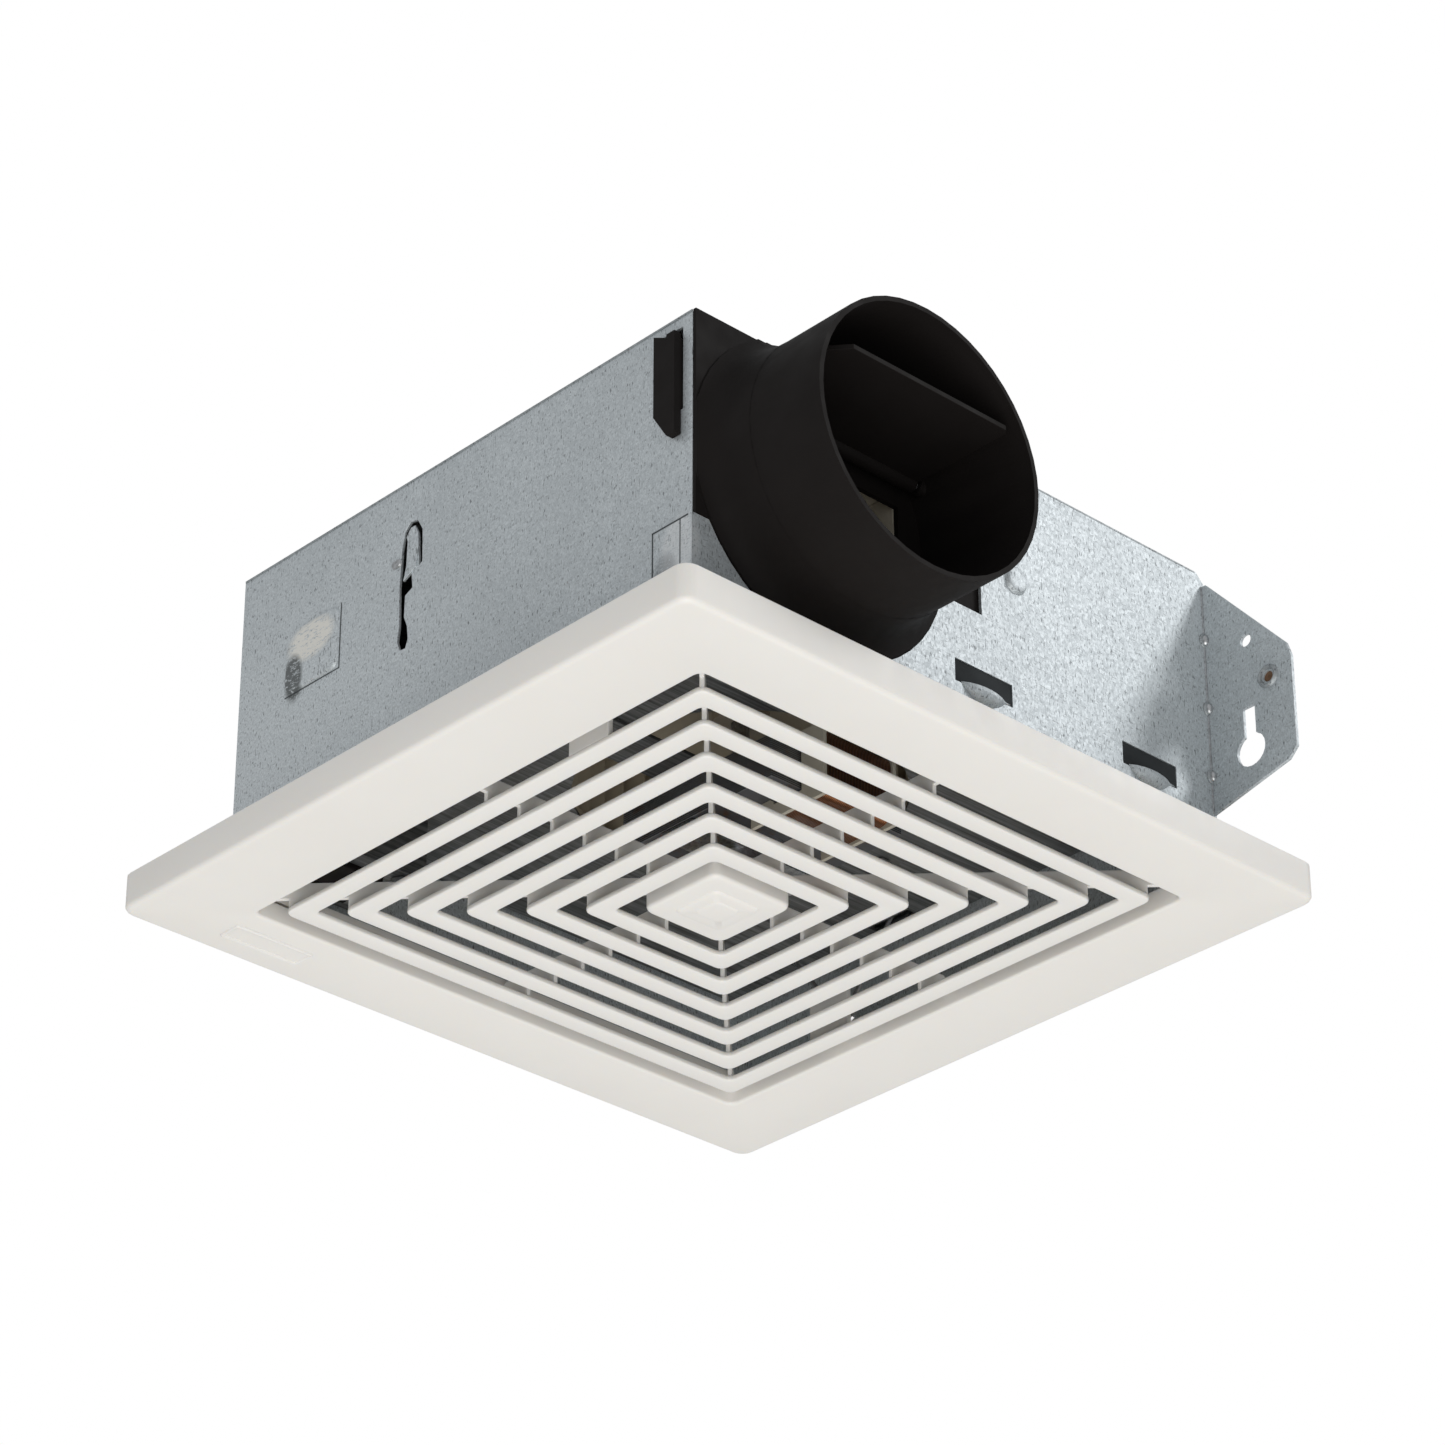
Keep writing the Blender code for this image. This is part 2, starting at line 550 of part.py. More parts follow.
def build_motor_plate():
    z = (PLATE_Z, PLATE_Z + SHEET)
    right = HOUSE_X1 - SHEET - GAP - PLATE_T - GAP
    plate = box(
        (HOUSE_X0 + SHEET + GAP, right),
        (HOUSE_Y0 + SHEET + GAP, HOUSE_Y1 - SHEET - GAP),
        z,
    )
    first, second = PANEL_SLOTS
    tab_end = HOUSE_X1 - SHEET / 2
    tabs = [
        box((right - MM, tab_end), (LATCH_WINDOW[1] + 2 * MM, first[1] * MM - MM), z),
        box((right - MM, tab_end), (second[0] * MM + MM, second[1] * MM - MM), z),
    ]
    unite(plate, *tabs)
    past = (PLATE_Z - SHEET, PLATE_Z + 2 * SHEET)
    cutters = [rod("Z", (AXIS_X, AXIS_Y), past, INLET_R, ROUND)]
    for side in (-1, 1):
        middle_x, middle_y = -side * SPRING_X, side * SPRING_Y
        for way in (-1, 1):
            slot_x = sorted((middle_x + way * ARM_SLOT[0], middle_x + way * ARM_SLOT[1]))
            slot_y = middle_y + way * ARM_SHIFT
            cutters.append(box(slot_x, (slot_y - ARM_SLOT[2], slot_y + ARM_SLOT[2]), past))
        cutters.append(rod("Z", (AXIS_X, AXIS_Y + side * STRAP_SCREW), past, BOLT_R + 0.4 * MM))
    cutters.append(rod("Z", PLATE_SCREW, past, SCREW_HOLE_R))
    cut(plate, *cutters)
    finish_piece(plate, "motor_plate", "galvanised")
    build_screw("plate_screw", *PLATE_SCREW, PLATE_Z - GAP, SHELF_Z[1] + 3 * MM)


def build_screw(name, x, y, under_head, tip, finish="steel", sides=6):
    """A screw that points up: head below, shank to the tip."""
    head = rod("Z", (x, y), (under_head - 1.8 * MM, under_head), 3.0 * MM, sides)
    shank = rod("Z", (x, y), (under_head - 0.5 * MM, tip), BOLT_R, 12)
    finish_piece(unite(head, shank), name, finish)


def volute(offset, outlet_x):
    """The scroll's outline, grown by an offset, with its outlet reaching outlet_x."""
    tongue_y = OUTLET_Y[1] + offset
    start = math.degrees(math.asin((tongue_y - AXIS_Y) / (VOLUTE_START + offset)))
    steps = 32
    points = []
    for step in range(steps + 1):
        share = step / steps
        angle = math.radians(start + (270 - start) * share)
        radius = VOLUTE_START + (VOLUTE_END - VOLUTE_START) * share + offset
        points.append((AXIS_X + radius * math.cos(angle), AXIS_Y + radius * math.sin(angle)))
    points.append((outlet_x, AXIS_Y - VOLUTE_END - offset))
    points.append((outlet_x, tongue_y))
    return points


def build_scroll():
    outlet_x = HOUSE_X1 - SHEET - 2 * GAP - PLATE_T
    scroll = prism("Z", [volute(SCROLL_WALL, outlet_x)], SCROLL_Z)
    hollow = prism("Z", [volute(0, outlet_x + 5 * MM)], (SCROLL_Z[0] - MM, SCROLL_Z[1] + MM))
    cut(scroll, hollow)
    tie = (outlet_x - 3 * MM, outlet_x)
    lintel = box(tie, (AXIS_Y - VOLUTE_END - MM, OUTLET_Y[1] + MM), (SCROLL_Z[1] - 1.5 * MM, SCROLL_Z[1]))
    unite(scroll, lintel)
    finish_piece(scroll, "blower_scroll", "wheel_plastic", smooth=True)
    cover_z = (SCROLL_Z[1] + GAP, SCROLL_Z[1] + GAP + SHEET)
    cover = prism("Z", [volute(SCROLL_WALL, outlet_x)], cover_z)
    finish_piece(cover, "scroll_cover", "galvanised")


def build_impeller():
    axis = (AXIS_X, AXIS_Y)
    low, high = WHEEL_Z
    disc = rod("Z", axis, (high - 1.6 * MM, high), WHEEL_R, ROUND)
    ring = rod("Z", axis, (low, low + 1.6 * MM), WHEEL_R, ROUND)
    cut(ring, rod("Z", axis, (low - MM, low + 3 * MM), WHEEL_BORE, ROUND))
    hub = rod("Z", axis, (high - 16 * MM, high - 0.5 * MM), 8 * MM, SMALL_ROUND)
    blades = []
    lean = math.radians(35)
    for index in range(BLADES):
        blade = box((0, 8.6 * MM), (-0.5 * MM, 0.5 * MM), (low + 0.8 * MM, high - 0.8 * MM))
        around = 2 * math.pi * index / BLADES
        start = WHEEL_BORE + 0.15 * MM
        place = (
            Matrix.Translation((AXIS_X, AXIS_Y, 0))
            @ Matrix.Rotation(around, 4, "Z")
            @ Matrix.Translation((start, 0, 0))
            @ Matrix.Rotation(lean, 4, "Z")
        )
        blade.data.transform(place)
        blades.append(blade)
    unite(disc, hub, ring, *blades)
    cut(disc, rod("Z", axis, (low, high + MM), BORE_R))
    finish_piece(disc, "impeller", "wheel_plastic")
    clip = rod("Z", axis, (high + GAP, high + 1.5 * MM), 5.5 * MM)
    cut(clip, rod("Z", axis, (high, high + 2 * MM), BORE_R))
    finish_piece(clip, "impeller_clip", "spring_steel", smooth=True)
    shaft = rod("Z", axis, SHAFT_Z, SHAFT_R)
    finish_piece(shaft, "motor_shaft", "steel", smooth=True)
    rotor = rod("Z", axis, (STACK_Z[0] + 0.4 * MM, STACK_Z[1] - 0.4 * MM), ROTOR_R, 32)
    cut(rotor, rod("Z", axis, (0, 30 * MM), BORE_R))
    finish_piece(rotor, "rotor", "laminated_steel", smooth=True)
    hang_on_pivot("wheel_pivot", (AXIS_X, AXIS_Y, (low + high) / 2), [disc, clip, shaft, rotor])


# ---------------------------------------------------------------- motor


def from_axis(across, along, z):
    """A block given about the motor's axis."""
    return box(
        (AXIS_X + across[0], AXIS_X + across[1]), (AXIS_Y + along[0], AXIS_Y + along[1]), z
    )


def bolt_holes(z):
    holes = []
    for side in (-1, 1):
        holes.append(rod("Z", (AXIS_X, AXIS_Y + side * BOLT_Y), z, BOLT_R + 0.4 * MM, 12))
    return holes


def build_stator():
    stack = from_axis(STACK_X, (-STACK_HALF_Y, STACK_HALF_Y), STACK_Z)
    past = (STACK_Z[0] - MM, STACK_Z[1] + MM)
    cut(
        stack,
        rod("Z", (AXIS_X, AXIS_Y), past, ROTOR_R + 0.4 * MM, 32),
        from_axis(WINDOW_X, (-WINDOW_HALF_Y, WINDOW_HALF_Y), past),
        *bolt_holes(past),
    )
    finish_piece(stack, "stator_stack", "laminated_steel")


def build_coil():
    leg_x = (WINDOW_X[1], STACK_X[1])
    hole_x = (leg_x[0] - GAP, leg_x[1] + GAP)
    hole_z = (STACK_Z[0] - GAP, STACK_Z[1] + GAP)
    tube_x = (hole_x[0] - BOBBIN_WALL, hole_x[1] + BOBBIN_WALL)
    tube_z = (hole_z[0] - BOBBIN_WALL, hole_z[1] + BOBBIN_WALL)
    flange_x = (WINDOW_X[0] + MM, leg_x[1] + 9 * MM)
    flange_z = BOBBIN_Z
    reach, flange = BOBBIN_HALF_Y, 1.2 * MM
    bobbin = from_axis(tube_x, (-reach, reach), tube_z)
    unite(
        bobbin,
        from_axis(flange_x, (-reach, flange - reach), flange_z),
        from_axis(flange_x, (reach - flange, reach), flange_z),
    )
    cut(bobbin, from_axis(hole_x, (-reach - MM, reach + MM), hole_z))
    finish_piece(bobbin, "coil_bobbin", "bobbin_plastic")
    half = reach - flange - GAP
    winding = from_axis(
        (flange_x[0] + 0.6 * MM, flange_x[1] - 0.6 * MM),
        (-half, half),
        (flange_z[0] + 0.6 * MM, flange_z[1] - 0.6 * MM),
    )
    form = bmesh.new()
    form.from_mesh(winding.data)
    long_edges = [
        edge for edge in form.edges if abs(edge.verts[0].co.y - edge.verts[1].co.y) > half
    ]
    bmesh.ops.bevel(
        form, geom=long_edges, offset=4 * MM, segments=4, profile=0.5, affect="EDGES"
    )
    form.to_mesh(winding.data)
    form.free()
    core_x = (tube_x[0] - GAP, tube_x[1] + GAP)
    core_z = (tube_z[0] - GAP, tube_z[1] + GAP)
    cut(winding, from_axis(core_x, (-half - MM, half + MM), core_z))
    finish_piece(winding, "coil_winding", "copper", smooth=True)


def build_bearings():
    axis = (AXIS_X, AXIS_Y)
    places = (("lower", LOWER_STRIP_Z, LOWER_HUB_Z), ("upper", UPPER_STRIP_Z, UPPER_HUB_Z))
    for place, strip, hub in places:
        bracket = from_axis((-6 * MM, 6 * MM), (-STACK_HALF_Y, STACK_HALF_Y), strip)
        unite(bracket, rod("Z", axis, hub, BEARING_HUB_R))
        past = (hub[0] - MM, hub[1] + MM)
        cut(bracket, rod("Z", axis, past, BEARING_R + GAP), *bolt_holes(past))
        finish_piece(bracket, "bearing_bracket_" + place, "steel", smooth=True)
        bearing = rod("Z", axis, (hub[0] + GAP, hub[1] - GAP), BEARING_R)
        cut(bearing, rod("Z", axis, past, BORE_R))
        finish_piece(bearing, "bearing_" + place, "bronze", smooth=True)


def build_motor_bracket():
    z = BRACKET_Z
    strap = from_axis((-STRAP_HALF, STRAP_HALF), (-STRAP_REACH, STRAP_REACH), z)
    past = (z[0] - MM, z[1] + MM)
    cutters = [rod("Z", (AXIS_X, AXIS_Y), past, 5 * MM), *bolt_holes(past)]
    for side in (-1, 1):
        cutters.append(rod("Z", (AXIS_X, AXIS_Y + side * STRAP_SCREW), past, BOLT_R + 0.4 * MM))
    cut(strap, *cutters)
    finish_piece(strap, "motor_bracket", "galvanised")
    for side, word in ((-1, "front"), (1, "back")):
        x, y = AXIS_X, AXIS_Y + side * BOLT_Y
        build_screw("motor_bolt_" + word, x, y, 3.4 * MM, 28 * MM)
        nut_z = (BRACKET_Z[1] + GAP, BRACKET_Z[1] + 2.7 * MM)
        nut = rod("Z", (x, y), nut_z, 3.2 * MM, 6)
        cut(nut, rod("Z", (x, y), (nut_z[0] - MM, nut_z[1] + MM), BOLT_R + GAP, 12))
        finish_piece(nut, "motor_nut_" + word, "steel")
        grommet_z = (UPPER_STRIP_Z[1] + GAP, BRACKET_Z[0] - GAP)
        grommet = rod("Z", (x, y), grommet_z, 4.5 * MM)
        cut(grommet, rod("Z", (x, y), (grommet_z[0] - MM, grommet_z[1] + MM), BOLT_R + GAP, 12))
        finish_piece(grommet, "grommet_" + word, "rubber", smooth=True)
        build_screw(
            "bracket_screw_" + word, AXIS_X, AXIS_Y + side * STRAP_SCREW, z[0] - GAP, 26.3 * MM
        )


# ---------------------------------------------------------------- wiring compartment


def build_wiring():
    x0, x1, y0, y1, z0, z1 = WIRE_BOX
    cover = box((x0, x1), (y0, y1), (z0, z1))
    cut(
        cover,
        box((x0 - MM, x1 - SHEET), (y0 - MM, y1 - SHEET), (z0 + SHEET, z1 + MM)),
        box(
            (SOCKET[0] - GAP, SOCKET[1] + GAP),
            (SOCKET[2] - GAP, SOCKET[3] + GAP),
            (z0 - MM, z0 + 2 * SHEET),
        ),
    )
    screw_x, screw_ys = x1 - 4.2 * MM, (y0 + 5.5 * MM, y1 - 5.5 * MM)
    past = (z0 - MM, z0 + 2 * SHEET)
    cut(cover, *[rod("Z", (screw_x, y), past, BOLT_R + GAP, 12) for y in screw_ys])
    finish_piece(cover, "wiring_cover", "galvanised")
    build_screw("ground_screw", screw_x, screw_ys[0], z0 - GAP, 10 * MM, "ground_green")
    build_screw("wiring_screw", screw_x, screw_ys[1], z0 - GAP, 10 * MM)
    socket = box(SOCKET[0:2], SOCKET[2:4], SOCKET[4:6])
    middle_x = (SOCKET[0] + SOCKET[1]) / 2
    cutters = []
    for offset in (-5 * MM, 5 * MM):
        y = (SOCKET[2] + SOCKET[3]) / 2 + offset
        cutters.append(box((middle_x - 3.5 * MM, middle_x + 3.5 * MM), (y - MM, y + MM), (0, 9 * MM)))
    cutters.append(rod("Z", (middle_x - 5 * MM, (SOCKET[2] + SOCKET[3]) / 2), (0, 9 * MM), 1.8 * MM, 12))
    cut(socket, *cutters)
    finish_piece(socket, "receptacle", "black_plastic")


# ---------------------------------------------------------------- grille


def face_level(half):
    """Height of the louvre faces: they hang a little lower towards the centre."""
    return GRILLE_FACE - DOME * (1 - (half / OPEN_HALF) ** 2)


def ring_half(index):
    return RING_FIRST - index * RING_PITCH


def rib_outline(stretch):
    """A rib from the centre plate to the border, with a foot on each ring. Stretch is 1 or root 2."""
    corner_loss = RING_CORNER * (stretch - 1)
    root = RIB_ROOT * stretch - corner_loss
    end = (OPEN_HALF + MM) * stretch - corner_loss
    points = [(root, RIB_Z[0])]
    for index in reversed(range(RING_COUNT)):
        middle = ring_half(index)
        foot = face_level(middle) + RING_T / 2
        reach = RING_W / 2 * stretch - 0.3 * MM
        centre = middle * stretch - corner_loss
        points += [(centre - reach, RIB_Z[0]), (centre - reach, foot)]
        points += [(centre + reach, foot), (centre + reach, RIB_Z[0])]
    return points + [(end, RIB_Z[0]), (end, RIB_Z[1]), (root, RIB_Z[1])]


def spring_holder(side):
    """The tab and peg that carry a grille spring, on the back of the outer ring."""
    middle = -side * SPRING_X
    outer = ring_half(0) + RING_W / 2
    y = sorted((side * (outer - TAB_T), side * outer))
    low = face_level(ring_half(0)) + RING_T / 2
    tab = box((middle - TAB_HALF, middle + TAB_HALF), y, (low, TAB_TOP))
    peg_y = sorted((side * (outer - TAB_T / 2), side * (SPRING_Y + 3.6 * MM)))
    return [tab, rod("Y", (middle, SPRING_Z), peg_y, SPRING_R - SPRING_WIRE - 2 * GAP, 16)]


def build_grille():
    plate = prism(
        "Z", [rounded_rectangle(GRILLE_HALF_X, GRILLE_HALF_Y, GRILLE_CORNER)], (GRILLE_FACE, 0)
    )
    soften(plate, GRILLE_EDGE, lambda point: point.z < GRILLE_FACE / 2)
    inside = rounded_rectangle(
        GRILLE_HALF_X - GRILLE_WALL, GRILLE_HALF_Y - GRILLE_WALL, GRILLE_CORNER - GRILLE_WALL / 2
    )
    upstand = OPEN_HALF + UPSTAND_WALL
    across = (-upstand - MM, upstand + MM)
    cut(
        plate,
        prism("Z", [inside, rectangle((-upstand, upstand), (-upstand, upstand))],
              (GRILLE_FACE + GRILLE_WALL, MM)),
        box(across, (-upstand - MM, MM / 2 - OPEN_HALF), (UPSTAND_TOP, 2 * MM)),
        box(across, (OPEN_HALF - MM / 2, upstand + MM), (UPSTAND_TOP, 2 * MM)),
        prism("Z", [rounded_rectangle(OPEN_HALF, OPEN_HALF, RING_CORNER)], (2 * GRILLE_FACE, MM)),
    )
    pieces = []
    for index in range(RING_COUNT):
        middle = ring_half(index)
        outer, inner = middle + RING_W / 2, middle - RING_W / 2
        level = face_level(middle)
        outlines = [
            rounded_rectangle(outer, outer, RING_CORNER),
            rounded_rectangle(inner, inner, RING_CORNER),
        ]
        pieces.append(prism("Z", outlines, (level, level + RING_T)))
    level = face_level(HUB_HALF)
    hub = prism("Z", [rounded_rectangle(HUB_HALF, HUB_HALF, 3 * MM)], (level, level + HUB_DEEP))
    soften(hub, 0.9 * MM, lambda point: point.z < level + MM)
    hollow = HUB_HALF - 1.8 * MM
    cut(hub, box((-hollow, hollow), (-hollow, hollow), (level + 1.8 * MM, level + 2 * HUB_DEEP)))
    pieces.append(hub)
    for index in range(8):
        stretch = 1 if index % 2 == 0 else math.sqrt(2)
        rib = prism("Y", [rib_outline(stretch)], (-RIB_T / 2, RIB_T / 2))
        rib.data.transform(Matrix.Rotation(index * math.pi / 4, 4, "Z"))
        pieces.append(rib)
    for side in (-1, 1):
        pieces += spring_holder(side)
    unite(plate, *pieces, solver="MANIFOLD")  # EXACT leaves the crossing rib feet open
    finish_piece(plate, "grille", "grille_plastic", smooth=True)
    hang_on_pivot("grille_slide", (0, 0, GRILLE_FACE), [plate])


def build_springs():
    """Each spring is a coil on the grille's peg, and two arms that pass up through the motor plate."""
    for side, word in ((-1, "front"), (1, "back")):
        middle = Vector((-side * SPRING_X, side * SPRING_Y, SPRING_Z))
        steps = int(SPRING_TURNS * 10)
        coil = []
        for step in range(steps + 1):
            share = step / steps
            angle = 2 * math.pi * SPRING_TURNS * share
            offset = (share - 0.5) * SPRING_TURNS * SPRING_PITCH
            coil.append(
                middle + Vector((SPRING_R * math.cos(angle), offset, SPRING_R * math.sin(angle)))
            )
        finish_piece(wire(coil, SPRING_WIRE), "spring_coil_" + word, "spring_steel", smooth=True)
        for way, hand in ((-1, "left"), (1, "right")):
            lean = Vector((way * math.sin(ARM_SPREAD), 0, math.cos(ARM_SPREAD)))
            shift = Vector((0, way * ARM_SHIFT, 0))
            start = middle + shift + lean * (SPRING_R + SPRING_WIRE + GAP)
            end = middle + shift + lean * ARM_LENGTH
            across = Vector((way * math.cos(ARM_SPREAD), 0, -math.sin(ARM_SPREAD)))
            hook = end + across * ARM_HOOK
            name = f"spring_arm_{word}_{hand}"
            arm = wire([start, end, hook], SPRING_WIRE)
            finish_piece(arm, name, "spring_steel", smooth=True)
            hang_on_pivot(f"arm_pivot_{word}_{hand}", middle, [arm])


clear_scene()
fan = bpy.data.collections.new("extractor_fan")
bpy.context.scene.collection.children.link(fan)

build_housing_shell()
build_duct_side_panel()
build_wiring_side_panel()
build_duct_collar()
build_damper()
build_motor_plate()
build_scroll()
build_impeller()
build_stator()
build_coil()
build_bearings()
build_motor_bracket()
build_wiring()
build_grille()
build_springs()
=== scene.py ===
"""Looks for the bathroom extractor fan: finished surfaces, materials, studio light and camera."""

import json
import math

import bmesh
import bpy
from mathutils import Matrix, Vector

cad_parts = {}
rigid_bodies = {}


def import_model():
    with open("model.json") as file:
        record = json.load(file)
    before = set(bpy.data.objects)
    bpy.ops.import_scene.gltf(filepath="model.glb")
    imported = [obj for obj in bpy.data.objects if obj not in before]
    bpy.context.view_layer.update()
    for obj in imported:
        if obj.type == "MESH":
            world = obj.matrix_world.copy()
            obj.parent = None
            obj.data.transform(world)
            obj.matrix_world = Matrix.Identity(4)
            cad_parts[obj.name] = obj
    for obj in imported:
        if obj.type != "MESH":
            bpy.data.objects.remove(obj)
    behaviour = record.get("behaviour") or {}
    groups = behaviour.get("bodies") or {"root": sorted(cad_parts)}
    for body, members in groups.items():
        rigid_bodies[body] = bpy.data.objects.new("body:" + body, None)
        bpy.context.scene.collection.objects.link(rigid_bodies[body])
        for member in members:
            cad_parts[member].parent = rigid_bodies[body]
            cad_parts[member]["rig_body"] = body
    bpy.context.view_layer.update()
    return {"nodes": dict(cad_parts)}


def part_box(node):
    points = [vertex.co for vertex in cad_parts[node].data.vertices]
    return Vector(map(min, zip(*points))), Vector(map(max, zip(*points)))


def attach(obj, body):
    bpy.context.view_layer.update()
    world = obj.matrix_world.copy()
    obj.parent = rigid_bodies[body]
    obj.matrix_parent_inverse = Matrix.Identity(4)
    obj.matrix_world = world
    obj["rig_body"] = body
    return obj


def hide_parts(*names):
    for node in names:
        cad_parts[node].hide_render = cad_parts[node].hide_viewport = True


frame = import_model()
nodes = frame["nodes"]

MM = 0.001

# Camera: it looks up at the fan from the corner between the duct and the clip wall
CAMERA_TARGET = Vector((15.5, -12.6, 34.7)) * MM
CAMERA_DISTANCE = 1.3211
CAMERA_AZIMUTH, CAMERA_ELEVATION, CAMERA_ROLL = 46.82, -29.73, -0.065  # degrees
CAMERA_LENS = 122.59

# Light: a sun from above the ear's side, a soft fill from below, and a white surround
SURROUND = 0.52
SUN_FROM, SUN_STRENGTH, SUN_SPREAD = (0.556, 0.633, 0.537), 0.55, 16  # spread in degrees
FILL_PLACE, FILL_POWER = (0.85, -0.65, -1.65), 28
FLOOR_Z = -2.4

# Grille, in millimetres about its own centre
BORDER_WALL = 2.0
OUTER_EDGE, OUTER_CORNER, INNER_EDGE = 1.6, 4.0, 0.9
OPENING = 87.8
UPSTAND_TOP = -4.5
RINGS, RING_FIRST, RING_PITCH = 6, 79.2, 11.32
RING_W, RING_T, RING_CORNER, RING_EDGE = 5.9, 1.8, 2.2, 0.5
DOME = 0.9
HUB, HUB_CORNER, HUB_DEEP = 14.3, 3.0, 6.0
HUB_PAD = ((8.3, 0.0), (7.9, -0.45), (7.5, -0.55), (4.6, -0.55), (4.3, -0.85), (4.0, -0.9))
BLANK_PLATE, BLANK_HALF = (-99.6, -74.2), (3.7, 12.8)  # the name plate, left without its name
RIB_T, RIB_LOW, RIB_TOP, RIB_ROOT = 1.3, -6.6, -1.8, 13.4
HOLDER_TAB = ((-7.5, -9.5), (7.5, -9.5), (7.5, 5.5), (5.5, 7.5), (-5.5, 7.5), (-7.5, 5.5))
HOLDER_THICK, PEG_R = 1.8, 3.0

# Duct collar: centre of the pipe, and the fillet's profile as distance along X and radius
PIPE_Y, PIPE_Z = -51.0, 53.0
FILLET = (
    (93.62, 44.7), (94.0, 43.7), (94.8, 42.5), (96.0, 41.4),
    (97.8, 40.45), (100.4, 39.7), (103.8, 39.25), (108.0, 39.06),
)
FILLET_STEPS = 96

# Front wall details, in millimetres across and up the wall
PAD, PAD_HALF = (-59.0, 56.2), (10.4, 9.0)
# Thin dark lines of painted shade along the pad's right and bottom edges
PAD_SHADE_LINES = ((-47.5, -47.2, 45.9, 66.2), (-70.4, -47.2, 45.8, 46.1))  # from, to, low, high
BURR, BURR_HALF = (-24.0, 67.8), (1.5, 0.8)
TONGUE = (
    (-20.9, 61.0), (-15.8, 63.6), (-15.2, 70.0), (-15.6, 74.2), (-17.0, 77.0),
    (-18.8, 77.0), (-20.4, 74.6), (-19.4, 71.8), (-19.2, 68.0),
)
TONGUE_THICK, TONGUE_PROUD, TONGUE_LEAN = 0.9, 1.3, -1.2
# Thin dark lines on the lap tab: painted shade along its left and top edges, and one dark line down its
# face
LAP_SHADE_LINES = ((78.5, 78.95, 1.2, 30.2), (78.5, 91.8, 29.8, 30.25), (88.7, 89.0, 12.0, 29.8))
LAP_SHADE_LINE_THICK, PAD_SHADE_LINE_THICK = 0.08, 0.12
FOLD_THICK = 0.4

# Duct wall details, in millimetres across and up the wall
SLOTS = ((-3.0, 18.4, 18.8, 25.6), (60.6, 81.8, 18.6, 25.4))
SLOT_LIP = ((0.1, 0.5), (1.0, 0.6), (2.1, 0.1), (2.6, -1.4), (2.0, -3.0), (0.1, -4.2))  # out, up
SLOT_DEEP = 0.35
WALL_DIMPLE, WALL_DIMPLE_HALF = (21.0, 58.7), (3.0, 3.4)
BEND_LOW, BEND_HIGH = 16.5, 88.0
BEND_DIMPLES = (70.4, 48.7, 27.6)
EAR_REACH = 30.1
BOSS_ACROSS, BOSS_UP = 21.8, 50.2
BOSS_PROFILE = ((3.5, 0.0), (3.3, 0.6), (2.8, 0.95), (2.35, 0.7), (2.1, -0.2))  # radius, out

# Edge radius of each kind of piece
SHEET_EDGE, PLASTIC_EDGE, SCREW_EDGE, BLADE_EDGE = 0.22 * MM, 0.45 * MM, 0.3 * MM, 0.12 * MM

# Edges: shaded sharp above one angle, rounded above the other, and left out when flatter (degrees)
SMOOTH_ANGLE, ROUNDED_ANGLE, FLAT_ANGLE = 38, 32, 0.6
WELD = 0.005 * MM

# A wave texture's scale for one band in each unit of its coordinates
BANDS_PER_UNIT = 0.314

# Base colours of the galvanised sheet
ZINC_LIGHT, ZINC_MID = (0.745, 0.795, 0.820), (0.625, 0.672, 0.696)


# ---------------------------------------------------------------- materials


